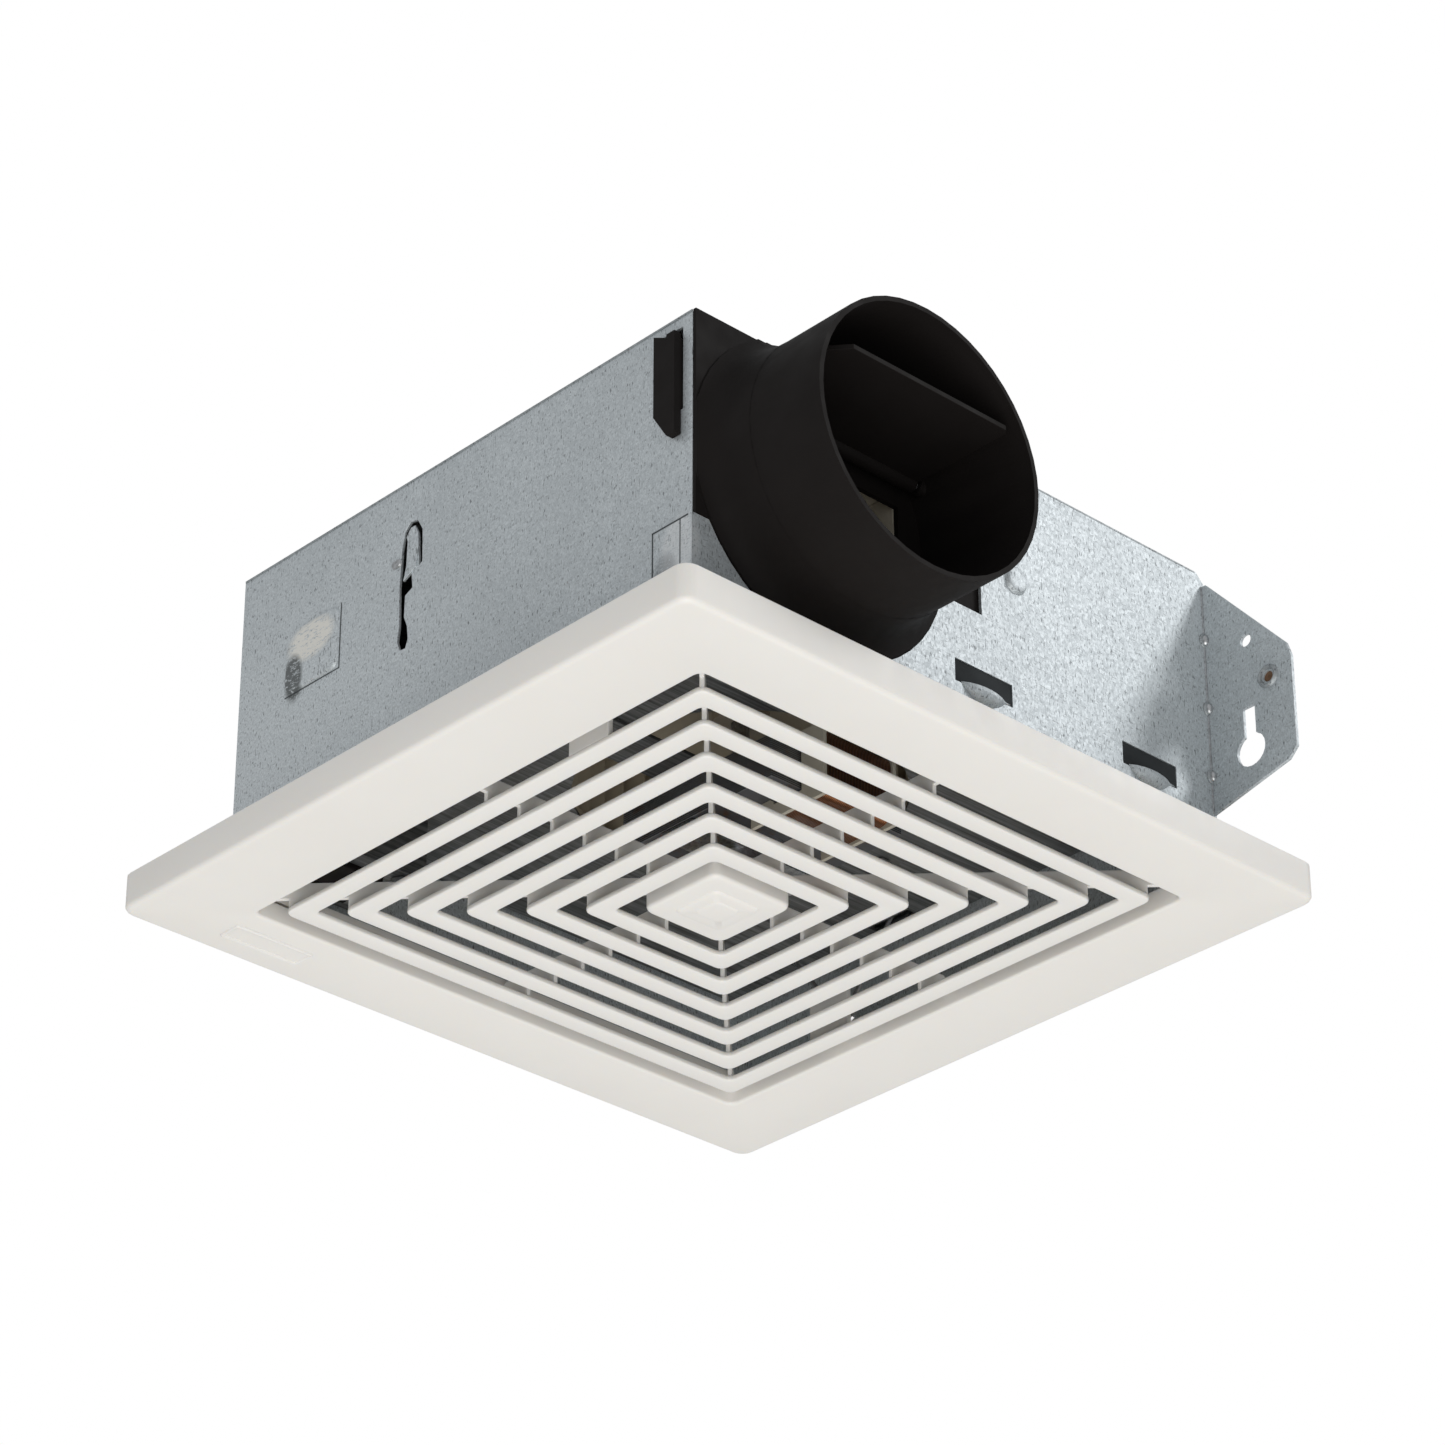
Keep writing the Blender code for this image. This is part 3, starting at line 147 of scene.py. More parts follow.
class Finish:
    """A Principled material, with short calls for nodes that give it detail in object coordinates."""

    def __init__(self, name, colour, roughness, metallic=0.0):
        self.material = bpy.data.materials.new(name)
        self.material.use_nodes = True
        self.tree = self.material.node_tree
        self.surface = self.tree.nodes["Principled BSDF"]
        self.set(colour=colour, roughness=roughness, metallic=metallic)
        self.place = self.tree.nodes.new("ShaderNodeTexCoord").outputs["Object"]

    def set(self, colour=None, roughness=None, metallic=None, coat=None, shine=None):
        values = {
            "Roughness": roughness,
            "Metallic": metallic,
            "Coat Weight": coat,
            "Specular IOR Level": shine,
        }
        if colour is not None:
            self.surface.inputs["Base Color"].default_value = (*colour, 1.0)
        for name, value in values.items():
            if value is not None:
                self.surface.inputs[name].default_value = value

    def link(self, output, name):
        self.tree.links.new(output, self.surface.inputs[name])

    def stretched(self, scale):
        """Object coordinates in millimetres, divided by a feature size along each axis."""
        node = self.tree.nodes.new("ShaderNodeMapping")
        node.inputs["Scale"].default_value = [1 / (MM * size) for size in scale]
        self.tree.links.new(self.place, node.inputs["Vector"])
        return node.outputs["Vector"]

    def noise(self, scale, detail=3.0, roughness=0.55):
        node = self.tree.nodes.new("ShaderNodeTexNoise")
        node.inputs["Scale"].default_value = 1.0
        node.inputs["Detail"].default_value = detail
        node.inputs["Roughness"].default_value = roughness
        self.tree.links.new(self.stretched(scale), node.inputs["Vector"])
        return node.outputs["Fac"]

    def cells(self, scale):
        """A flat random level in each cell."""
        node = self.tree.nodes.new("ShaderNodeTexVoronoi")
        node.inputs["Scale"].default_value = 1.0
        self.tree.links.new(self.stretched(scale), node.inputs["Vector"])
        grey = self.tree.nodes.new("ShaderNodeSeparateColor")
        self.tree.links.new(node.outputs["Color"], grey.inputs["Color"])
        return grey.outputs["Red"]

    def bands(self, axis, pitch, wobble):
        """Parallel lines a pitch apart along an axis."""
        node = self.tree.nodes.new("ShaderNodeTexWave")
        node.bands_direction = axis
        node.inputs["Scale"].default_value = BANDS_PER_UNIT
        node.inputs["Distortion"].default_value = wobble
        self.tree.links.new(self.stretched((pitch, pitch, pitch)), node.inputs["Vector"])
        return node.outputs["Fac"]

    def range(self, value, low, high, to_low=0.0, to_high=1.0):
        node = self.tree.nodes.new("ShaderNodeMapRange")
        for name, number in (
            ("From Min", low),
            ("From Max", high),
            ("To Min", to_low),
            ("To Max", to_high),
        ):
            node.inputs[name].default_value = number
        self.tree.links.new(value, node.inputs["Value"])
        return node.outputs["Result"]

    def blend(self, factor, first, second):
        """Mix two colours; either may be a fixed colour or a node's output."""
        node = self.tree.nodes.new("ShaderNodeMix")
        node.data_type = "RGBA"
        self.tree.links.new(factor, node.inputs["Factor"])
        for socket, colour in ((node.inputs[6], first), (node.inputs[7], second)):
            if isinstance(colour, tuple):
                socket.default_value = (*colour, 1.0)
            else:
                self.tree.links.new(colour, socket)
        return node.outputs[2]

    def spot(self, centre, radii, core=0.35):
        """1 at a place on the piece, given in millimetres, falling to 0 from its core to its radii."""
        node = self.tree.nodes.new("ShaderNodeMapping")
        node.inputs["Scale"].default_value = [1 / (MM * radius) for radius in radii]
        node.inputs["Location"].default_value = [-at / radius for at, radius in zip(centre, radii)]
        self.tree.links.new(self.place, node.inputs["Vector"])
        away = self.tree.nodes.new("ShaderNodeVectorMath")
        away.operation = "LENGTH"
        self.tree.links.new(node.outputs["Vector"], away.inputs[0])
        return self.range(away.outputs["Value"], 1.0, core)

    def product(self, first, second):
        node = self.tree.nodes.new("ShaderNodeMath")
        node.operation = "MULTIPLY"
        self.tree.links.new(first, node.inputs[0])
        self.tree.links.new(second, node.inputs[1])
        return node.outputs["Value"]

    def bump(self, heights, distance):
        """Add one or more height fields, each (output, strength), on top of each other."""
        normal = None
        for height, strength in heights:
            node = self.tree.nodes.new("ShaderNodeBump")
            node.inputs["Strength"].default_value = strength
            node.inputs["Distance"].default_value = distance * MM
            self.tree.links.new(height, node.inputs["Height"])
            if normal is not None:
                self.tree.links.new(normal, node.inputs["Normal"])
            normal = node.outputs["Normal"]
        self.link(normal, "Normal")


def galvanised(name, shade_tone=1.0, speck=0.7, marks=(), painted_light=()):
    """Zinc coated sheet: faint spangle, short dark flecks, random cloudy tone, handling marks and
    patches of painted light.

    A mark is a place, its radii in millimetres, a colour and a strength. A patch of painted light is a
    smooth mark: lighter for a painted reflection, darker for a painted shadow. A tone below 1 darkens
    the whole sheet as painted shade.
    """
    light = tuple(shade_tone * value for value in ZINC_LIGHT)
    mid = tuple(shade_tone * value for value in ZINC_MID)
    finish = Finish(name, light, 0.5, 0.6)
    spangle = finish.range(finish.cells((0.8, 0.8, 1.0)), 0.1, 0.9)
    cloud = finish.range(finish.noise((26, 26, 34), 4), 0.35, 0.65)
    base = finish.blend(spangle, light, mid)
    base = finish.blend(finish.range(cloud, 0, 1, 0, 0.4), base, tuple(0.9 * value for value in mid))
    # Patches of painted light, blended in smoothly without smear
    for centre, radii, colour, strength in painted_light:
        painted_light_mix = finish.range(finish.spot(centre, radii, 0.0), 0, 1, 0, strength)
        base = finish.blend(painted_light_mix, base, tuple(shade_tone * value for value in colour))
    grain = finish.range(finish.noise((0.42, 0.42, 0.75), 3, 0.75), 0.38, 0.62, 0, 0.55)
    base = finish.blend(grain, base, tuple(0.60 * value for value in mid))
    fleck = finish.range(finish.noise((0.5, 0.5, 1.7), 1, 0.4), 0.635, 0.70, 0, speck)
    base = finish.blend(fleck, base, (0.13, 0.14, 0.15))
    scratch = finish.range(finish.noise((2.2, 2.2, 0.30), 1, 0.4), 0.675, 0.73, 0, 0.8 * speck)
    base = finish.blend(scratch, base, (0.17, 0.18, 0.19))
    for centre, radii, colour, strength in marks:
        smear = finish.range(finish.noise((1.5, 1.5, 0.5), 3, 0.65), 0.36, 0.47, 0, strength)
        base = finish.blend(finish.product(finish.spot(centre, radii, 0.72), smear), base, colour)
    finish.link(base, "Base Color")
    finish.link(finish.range(spangle, 0, 1, 0.50, 0.56), "Roughness")
    finish.bump(((spangle, 0.04), (finish.noise((0.5, 0.5, 0.8)), 0.08)), 0.04)
    return finish.material


def brushed(name, shade_tone):
    """Rolled sheet seen inside the housing: fine streaks along Y, dull with dust, and darkened all over
    by its tone as painted shade.
    """
    finish = Finish(name, (0.3, 0.3, 0.3), 0.5, 0.75)
    streak = finish.range(finish.noise((1.1, 40, 1.1), 4, 0.65), 0.35, 0.65)
    dark = tuple(0.45 * shade_tone * value for value in (0.30, 0.31, 0.31))
    pale = tuple(shade_tone * value for value in (0.42, 0.43, 0.43))
    base = finish.blend(streak, dark, pale)
    dust = finish.range(finish.noise((14, 14, 14), 4), 0.5, 0.75, 0, 0.5)
    finish.link(finish.blend(dust, base, (0.10, 0.09, 0.08)), "Base Color")
    finish.link(finish.range(streak, 0, 1, 0.38, 0.55), "Roughness")
    finish.bump(((streak, 0.15),), 0.05)
    return finish.material


def plated_steel(name, colour=(0.56, 0.57, 0.58), roughness=0.32, metallic=1.0):
    finish = Finish(name, colour, roughness, metallic)
    mottle = finish.noise((1.2, 1.2, 1.2), 4)
    dark = tuple(0.62 * value for value in colour)
    finish.link(finish.blend(finish.range(mottle, 0.4, 0.7), colour, dark), "Base Color")
    finish.link(finish.range(mottle, 0.3, 0.7, roughness - 0.06, roughness + 0.16), "Roughness")
    finish.bump(((finish.noise((0.3, 0.3, 0.3)), 0.15),), 0.03)
    return finish.material


def moulded(name, colour, shade, roughness, grain=0.5, shine=0.5, dust=0.0, glow=0.0):
    """Moulded plastic: faint flow clouds and fine grain. Glow is light that passes into it."""
    finish = Finish(name, colour, roughness)
    finish.set(shine=shine)
    if glow:
        finish.surface.inputs["Subsurface Weight"].default_value = glow
        finish.surface.inputs["Subsurface Radius"].default_value = (1.0, 0.85, 0.65)
        finish.surface.inputs["Subsurface Scale"].default_value = 2.5 * MM
    flow = finish.range(finish.noise((38, 38, 22), 3), 0.3, 0.7)
    base = finish.blend(flow, colour, shade)
    if dust:
        speck = finish.range(finish.noise((0.9, 0.9, 0.9), 2), 0.70, 0.76, 0, dust)
        base = finish.blend(speck, base, (0.20, 0.19, 0.18))
    finish.link(base, "Base Color")
    finish.link(
        finish.range(finish.noise((9, 9, 9), 4), 0.3, 0.7, roughness - 0.05, roughness + 0.07),
        "Roughness",
    )
    finish.bump(((finish.noise((grain, grain, grain), 2), 0.12), (flow, 0.04)), 0.06)
    return finish.material


def wound_copper(name):
    """Enamelled wire laid in turns, dimmed as painted shade, with painted shade darkening the groove
    between turns.
    """
    finish = Finish(name, (0.360, 0.140, 0.060), 0.28, 1.0)
    turns = finish.bands("Y", 0.55, 0.6)
    finish.link(finish.blend(turns, (0.080, 0.025, 0.010), (0.400, 0.170, 0.075)), "Base Color")
    finish.bump(((turns, 0.8),), 0.2)
    finish.set(coat=0.4)
    return finish.material


def stacked_sheets(name):
    """Silicon steel laminations seen edge on, with a few rust blooms."""
    finish = Finish(name, (0.30, 0.31, 0.33), 0.45, 0.85)
    sheets = finish.bands("Z", 0.6, 0.0)
    base = finish.blend(sheets, (0.10, 0.10, 0.11), (0.38, 0.39, 0.41))
    rust = finish.range(finish.noise((5, 5, 2.2), 5), 0.58, 0.72, 0, 0.6)
    finish.link(finish.blend(rust, base, (0.20, 0.09, 0.04)), "Base Color")
    finish.bump(((sheets, 0.6),), 0.12)
    return finish.material


# Marks on the galvanised sheet, and patches of painted light on it: place, radii, colour and strength
# of each
SCUFFS = (
    ((-59.0, -94.5, 59.8), (11.0, 4, 7.0), (0.90, 0.88, 0.82), 0.95),
    ((-66.5, -94.5, 50.6), (4.8, 4, 8.0), (0.12, 0.13, 0.13), 0.9),
    ((88, -95, 22), (7, 4, 12), (0.80, 0.82, 0.83), 0.7),
    ((83, -95, 12), (6, 4, 12), (0.16, 0.17, 0.18), 0.45),
)
PAINTED_LIGHT_PATCHES = (
    # A painted reflection: the front wall lighter towards its lower left
    ((-92, -94, 20), (120, 12, 75), (0.92, 0.97, 0.99), 0.6),
    # A painted shadow of the ear, darkening the duct wall beside it
    ((95, 70, 40), (9, 40, 55), (0.50, 0.55, 0.57), 0.25),
)
GALVANISED = galvanised("galvanised_sheet_metal", marks=SCUFFS, painted_light=PAINTED_LIGHT_PATCHES)
# A darker copy of the galvanised sheet as painted shade, for the top fold lines, the rings round the
# bend dimples and the ear boss
GALVANISED_PAINTED_SHADE = galvanised("galvanised_painted_shade_metal", 0.62, 1.0)
# Sheet inside the housing, darkened all over as painted shade
INNER_SHEET_PAINTED_SHADE = brushed("rolled_inner_metal_painted_shade", 0.62)
STEEL = plated_steel("zinc_plated_steel")
SPRING_STEEL = plated_steel("drawn_spring_wire", (0.42, 0.42, 0.43), 0.28)
GREEN_SCREW = plated_steel("green_dyed_screw", (0.04, 0.26, 0.10), 0.35, 0.6)
BRONZE = plated_steel("sintered_bronze", (0.52, 0.34, 0.15), 0.42)
BLACK = moulded(
    "black_moulded_plastic", (0.0082, 0.0066, 0.0061), (0.0105, 0.0086, 0.0080), 0.64, 0.35, 0.13
)
CREAM_SHEET = moulded("scroll_cover_finish", (0.60, 0.55, 0.45), (0.52, 0.47, 0.38), 0.5, 0.5)
WHITE = moulded(
    "warm_white_plastic", (0.830, 0.808, 0.772), (0.815, 0.790, 0.752), 0.42, 0.45, glow=0.35
)
CREAM = moulded("natural_wheel_plastic", (0.62, 0.55, 0.43), (0.55, 0.48, 0.37), 0.48, 0.6, dust=0.25)
BOBBIN = moulded("bobbin_plastic_finish", (0.66, 0.62, 0.52), (0.60, 0.55, 0.45), 0.5, 0.5, dust=0.2)
RUBBER = moulded("black_rubber", (0.02, 0.02, 0.02), (0.028, 0.027, 0.026), 0.8, 0.3)
# Nearly black sheet behind the duct wall's slots: painted shade
SLOT_PAINTED_SHADE = moulded("shaded_slot_metal", (0.016, 0.018, 0.019), (0.060, 0.066, 0.070), 0.75, 0.8, 0.1)
# Nearly black sheet for the thin lines of painted shade round the pad and the lap
EDGE_PAINTED_SHADE = moulded("shaded_edge_metal", (0.075, 0.082, 0.086), (0.110, 0.120, 0.126), 0.7, 0.8, 0.1)
RUSTY = plated_steel("rusty_boss_floor", (0.20, 0.11, 0.06), 0.6, 0.3)
# Copper winding, dimmed as painted shade
SHADED_COPPER = wound_copper("enamelled_copper_wire_shaded")
LAMINATED = stacked_sheets("laminated_core_steel")


# ---------------------------------------------------------------- shapes


def add_piece(name, form, material):
    """Turn a bmesh into a smooth shaded piece."""
    mesh = bpy.data.meshes.new(name)
    bmesh.ops.recalc_face_normals(form, faces=form.faces)
    form.to_mesh(mesh)
    form.free()
    piece = bpy.data.objects.new(name, mesh)
    bpy.context.scene.collection.objects.link(piece)
    mesh.materials.append(material)
    mesh.shade_smooth()
    mesh.set_sharp_from_angle(angle=math.radians(SMOOTH_ANGLE))
    return piece


def round_edges(piece, width):
    step = piece.modifiers.new("rounded_edges", "BEVEL")
    step.width = width
    step.segments = 2
    step.limit_method = "ANGLE"
    step.angle_limit = math.radians(ROUNDED_ANGLE)
    step.harden_normals = True
    piece.data.shade_smooth()
    return piece


def refine(name, material, width):
    """Stand a copy of a CAD piece in for it: welded, with rounded edges and smooth curved faces."""
    source = nodes[name]
    form = bmesh.new()
    form.from_mesh(source.data)
    bmesh.ops.remove_doubles(form, verts=form.verts, dist=WELD)
    flat = math.radians(FLAT_ANGLE)
    bmesh.ops.dissolve_limit(form, angle_limit=flat, verts=form.verts, edges=form.edges)
    piece = add_piece(name + "_finished", form, material)
    round_edges(piece, width)
    return stand_in(piece, name)


def stand_in(piece, node):
    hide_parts(node)
    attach(piece, nodes[node]["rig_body"])
    return piece


def extra(piece, body):
    """A detail that the CAD model leaves out."""
    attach(piece, body)
    return piece


def loop(half_x, half_y, radius, z, steps=4):
    """The points of a rounded rectangle, in metres from millimetres."""
    points = []
    for start, side_x, side_y in ((0, 1, 1), (90, -1, 1), (180, -1, -1), (270, 1, -1)):
        for step in range(steps + 1):
            angle = math.radians(start + 90 * step / steps)
            x = side_x * (half_x - radius) + radius * math.cos(angle)
            y = side_y * (half_y - radius) + radius * math.sin(angle)
            points.append(Vector((x, y, z)) * MM)
    return points


def loft(form, rows, closed=False, cap_start=False, cap_end=False):
    """Skin loops of equal length, one after another, into a bmesh."""
    rings = [[form.verts.new(point) for point in row] for row in rows]
    pairs = list(zip(rings, rings[1:]))
    if closed:
        pairs.append((rings[-1], rings[0]))
    for one, other in pairs:
        for index in range(len(one)):
            following = (index + 1) % len(one)
            form.faces.new((one[index], one[following], other[following], other[index]))
    if cap_start:
        form.faces.new(rings[0])
    if cap_end:
        form.faces.new(rings[-1])
    return form


def slab(form, outline, thickness, place):
    """A flat outline (across, up) given thickness about its plane, then moved."""
    front = [form.verts.new(place @ Vector((x * MM, -thickness / 2 * MM, z * MM))) for x, z in outline]
    back = [form.verts.new(place @ Vector((x * MM, thickness / 2 * MM, z * MM))) for x, z in outline]
    form.faces.new(front)
    form.faces.new(back)
    for index in range(len(outline)):
        following = (index + 1) % len(outline)
        form.faces.new((front[index], front[following], back[following], back[index]))
    return form


def rectangle(start, end, low, high):
    return [(start, low), (end, low), (end, high), (start, high)]


def facing_x(x):
    """Turns a slab's outline from the X axis to the Y axis, and stands it at x."""
    return Matrix.Translation((x, 0, 0)) @ Matrix.Rotation(math.pi / 2, 4, "Z")


def full_turn(steps):
    return [2 * math.pi * step / steps for step in range(steps)]


def arc(centre, radius, start, end, steps):
    points = []
    for step in range(steps + 1):
        angle = math.radians(start + (end - start) * step / steps)
        points.append((centre[0] + radius * math.cos(angle), centre[1] + radius * math.sin(angle)))
    return points


# ---------------------------------------------------------------- grille


grille_low, grille_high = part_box("grille")
HALF_X, HALF_Y = grille_high.x / MM, grille_high.y / MM
FACE = grille_low.z / MM + DOME * (1 - (HUB / OPENING) ** 2)


def face_level(half):
    return FACE - DOME * (1 - (half / OPENING) ** 2)


def ring_half(index):
    return RING_FIRST - index * RING_PITCH


def border(form):
    """The outer frame: upstand round the opening, face, rounded bottom edge, lip and hollow back."""
    rows = [loop(OPENING, OPENING, RING_CORNER, UPSTAND_TOP + 0.2)]
    for step in range(5):
        angle = math.radians(90 * step / 4)
        half = OPENING + INNER_EDGE * (1 - math.cos(angle))
        level = FACE + INNER_EDGE * (1 - math.sin(angle))
        rows.append(loop(half, half, RING_CORNER + 0.4, level))
    for step in range(6):
        angle = math.radians(90 * step / 5)
        inset = OUTER_EDGE * (1 - math.sin(angle))
        level = FACE + OUTER_EDGE * (1 - math.cos(angle))
        rows.append(loop(HALF_X - inset, HALF_Y - inset, OUTER_CORNER - 0.6 * inset, level))
    rows.append(loop(HALF_X, HALF_Y, OUTER_CORNER, -0.25))
    rows.append(loop(HALF_X - 0.25, HALF_Y - 0.25, OUTER_CORNER - 0.2, 0))
    inner_x, inner_y = HALF_X - BORDER_WALL, HALF_Y - BORDER_WALL
    rows.append(loop(inner_x, inner_y, OUTER_CORNER - 1, 0))
    rows.append(loop(inner_x, inner_y, OUTER_CORNER - 1, FACE + BORDER_WALL))
    back = OPENING + BORDER_WALL
    rows.append(loop(back, back, RING_CORNER + 1, FACE + BORDER_WALL))
    rows.append(loop(back, back, RING_CORNER + 1, UPSTAND_TOP))
    rows.append(loop(OPENING + 0.2, OPENING + 0.2, RING_CORNER, UPSTAND_TOP))
    loft(form, rows, closed=True)


def louvre_ring(form, index):
    middle = ring_half(index)
    outer, inner = middle + RING_W / 2, middle - RING_W / 2
    low = face_level(middle)
    high = low + RING_T
    rows = []
    for centre_half, centre_z, start in (
        (outer - RING_EDGE, low + RING_EDGE, -90),
        (outer - RING_EDGE, high - RING_EDGE, 0),
        (inner + RING_EDGE, high - RING_EDGE, 90),
        (inner + RING_EDGE, low + RING_EDGE, 180),
    ):
        for across, up in arc((centre_half, centre_z), RING_EDGE, start, start + 90, 3):
            rows.append(loop(across, across, RING_CORNER + 0.3 * (across - inner) / RING_W, up))
    loft(form, rows, closed=True)


def hub(form):
    """The centre plate: a shallow square cup with a broad rounded lower edge and a plain raised pad."""
    low = face_level(HUB)
    rows = [loop(HUB - 1.8, HUB - 1.8, 1.6, low + 1.8), loop(HUB - 1.8, HUB - 1.8, 1.6, low + HUB_DEEP)]
    rows.append(loop(HUB, HUB, HUB_CORNER, low + HUB_DEEP))
    for step in range(5):
        angle = math.radians(90 * step / 4)
        half = HUB - 1.2 * (1 - math.cos(angle))
        rows.append(loop(half, half, HUB_CORNER, low + 1.2 * (1 - math.sin(angle))))
    for half, rise in HUB_PAD:
        rows.append(loop(half, half, 1.7, low + rise))
    loft(form, rows, cap_start=True, cap_end=True)


def rib_outline(stretch):
    """A rib with a foot on each ring. Stretch is 1 along a side and root 2 along a diagonal."""
    loss = RING_CORNER * (stretch - 1)
    root = RIB_ROOT * stretch - loss
    end = (OPENING + 1) * stretch - loss
    points = [(root, RIB_LOW)]
    for index in reversed(range(RINGS)):
        middle = ring_half(index)
        foot = face_level(middle) + RING_T / 2
        reach = RING_W / 2 * stretch - 0.3
        centre = middle * stretch - loss
        points += [(centre - reach, RIB_LOW), (centre - reach, foot)]
        points += [(centre + reach, foot), (centre + reach, RIB_LOW)]
    return points + [(end, RIB_LOW), (end, UPSTAND_TOP + 0.4), (end - 3, RIB_TOP), (root, RIB_TOP)]


def grille_detail(name, form, rounding=None):
    piece = add_piece(name, form, WHITE)
    if rounding:
        round_edges(piece, rounding)
    return extra(piece, "grille")


def build_louvre():
    form = bmesh.new()
    border(form)
    for index in range(RINGS):
        louvre_ring(form, index)
    hub(form)
    stand_in(add_piece("grille_louvre", form, WHITE), "grille")


def build_side_upstands():
    """The taller upstands on the two sides of the opening that face along X."""
    form = bmesh.new()
    reach = OPENING - 0.5
    for side in (-1, 1):
        place = facing_x(side * (OPENING + 0.85) * MM)
        slab(form, rectangle(-reach, reach, -5.0, 0), 1.7, place)
    grille_detail("grille_side_upstands", form)


def build_blank_plate():
    form = bmesh.new()
    across, along = BLANK_HALF
    rows = []
    for grow, drop in ((0.35, 0.0), (0.1, -0.3), (0.0, -0.35)):
        rows.append(loop(across + grow, along + grow, 0.7, FACE + 1.5 * drop))
    for inset, drop in ((0.6, -0.35), (0.75, -0.05)):
        rows.append(loop(across - inset, along - inset, 0.4, FACE + drop))
    loft(form, rows, cap_end=True)
    bmesh.ops.translate(form, vec=Vector((*BLANK_PLATE, 0.02)) * MM, verts=form.verts)
    grille_detail("blank_name_plate", form)


def build_ribs():
    form = bmesh.new()
    for index in range(8):
        stretch = 1 if index % 2 == 0 else math.sqrt(2)
        slab(form, rib_outline(stretch), RIB_T, Matrix.Rotation(index * math.pi / 4, 4, "Z"))
    grille_detail("grille_ribs", form, 0.2 * MM)


def build_spring_holders():
    """A tab behind the border for each spring, with the peg that the coil sits on."""
    form = bmesh.new()
    outer = RING_FIRST + RING_W / 2
    for node in ("spring_coil_front", "spring_coil_back"):
        low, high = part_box(node)
        middle = (low + high) / 2 / MM
        side = 1 if middle.y > 0 else -1
        place = Matrix.Translation(Vector((middle.x, side * (outer - 0.9), 0)) * MM)
        slab(form, HOLDER_TAB, HOLDER_THICK, place)
        peg = [
            [
                Vector((middle.x + PEG_R * math.cos(angle), y, middle.z + PEG_R * math.sin(angle))) * MM
                for angle in full_turn(24)
            ]
            for y in (side * (outer - 0.9), side * (outer + 6.4))
        ]
        loft(form, peg, cap_start=True, cap_end=True)
    grille_detail("grille_spring_holders", form, 0.3 * MM)


def build_grille():
    build_louvre()
    build_side_upstands()
    build_blank_plate()
    build_ribs()
    build_spring_holders()


# ---------------------------------------------------------------- housing details


shell_low, shell_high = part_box("housing_shell")
panel_low, panel_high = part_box("duct_side_panel")
FRONT_WALL = Matrix.Translation((0, shell_low.y, 0)) @ Matrix.Rotation(math.pi / 2, 4, "X")
DUCT_WALL_X = shell_high.x + 1.3 * MM
DUCT_WALL = Matrix.Translation((DUCT_WALL_X, 0, 0)) @ Matrix(
    ((0, 0, 1, 0), (1, 0, 0, 0), (0, 1, 0, 0), (0, 0, 0, 1))
)


def housing_detail(name, form, material, rounding=None):
    piece = add_piece(name, form, material)
    if rounding:
        round_edges(piece, rounding)
    return extra(piece, "housing")


def raised(name, centre, half, corner, rise, wall, material, skirt=0.9):
    """A shallow pressed form on a wall: a rounded rectangle or circle that swells out by its rise."""
    form = bmesh.new()
    rows = []
    for step in range(5):
        share = step / 4
        grow = skirt * (1 - share)
        height = rise * math.sin(share * math.pi / 2)
        rows.append(loop(half[0] + grow, half[1] + grow, corner + grow, height))
    rows.append(loop(half[0] * 0.6, half[1] * 0.6, corner * 0.6, rise * 1.04))
    loft(form, rows, cap_end=True)
    place = wall @ Matrix.Translation(Vector((centre[0], centre[1], 0.02)) * MM)
    bmesh.ops.transform(form, matrix=place, verts=form.verts)
    housing_detail(name, form, material)


def build_front_wall_details():
    """The pressed pad, a burr, the lanced hook, thin dark lines of painted shade round the pad and the
    lap, and darker strips of painted shade along the top folds.
    """
    raised("pressed_pad", PAD, PAD_HALF, 2.6, 0.8, FRONT_WALL, GALVANISED)
    raised("lance_burr", BURR, BURR_HALF, 0.7, 0.7, FRONT_WALL, STEEL, skirt=0.5)
    tongue = bmesh.new()
    stand = Matrix.Translation(Vector((0, shell_low.y / MM - TONGUE_PROUD, 0)) * MM)
    lean = Matrix.Rotation(math.radians(TONGUE_LEAN), 4, "X")
    slab(tongue, TONGUE, TONGUE_THICK, stand @ lean)
    housing_detail("lanced_hook", tongue, GALVANISED, 0.2 * MM)
    # Painted shade: thin dark lines along the edges of the lap tab and the pad
    shade_lines = bmesh.new()
    for run in LAP_SHADE_LINES:
        place = Matrix.Translation((0, panel_low.y - 0.03 * MM, 0))
        slab(shade_lines, rectangle(*run), LAP_SHADE_LINE_THICK, place)
    for run in PAD_SHADE_LINES:
        place = Matrix.Translation((0, shell_low.y - 0.05 * MM, 0))
        slab(shade_lines, rectangle(*run), PAD_SHADE_LINE_THICK, place)
    housing_detail("edge_shade_lines", shade_lines, EDGE_PAINTED_SHADE)
    # Darker strips along the top folds of the front and duct walls: painted shade
    fold_shades = bmesh.new()
    top = shell_high.z / MM
    front = Matrix.Translation((0, shell_low.y - 0.1 * MM, 0))
    slab(fold_shades, rectangle(-90.6, 92.0, top - 0.55, top + 0.05), FOLD_THICK, front)
    side = facing_x(DUCT_WALL_X - 0.1 * MM)
    slab(fold_shades, rectangle(-6.0, 94.0, top - 0.5, top + 0.05), FOLD_THICK, side)
    housing_detail("fold_shade_lines", fold_shades, GALVANISED_PAINTED_SHADE, 0.12 * MM)


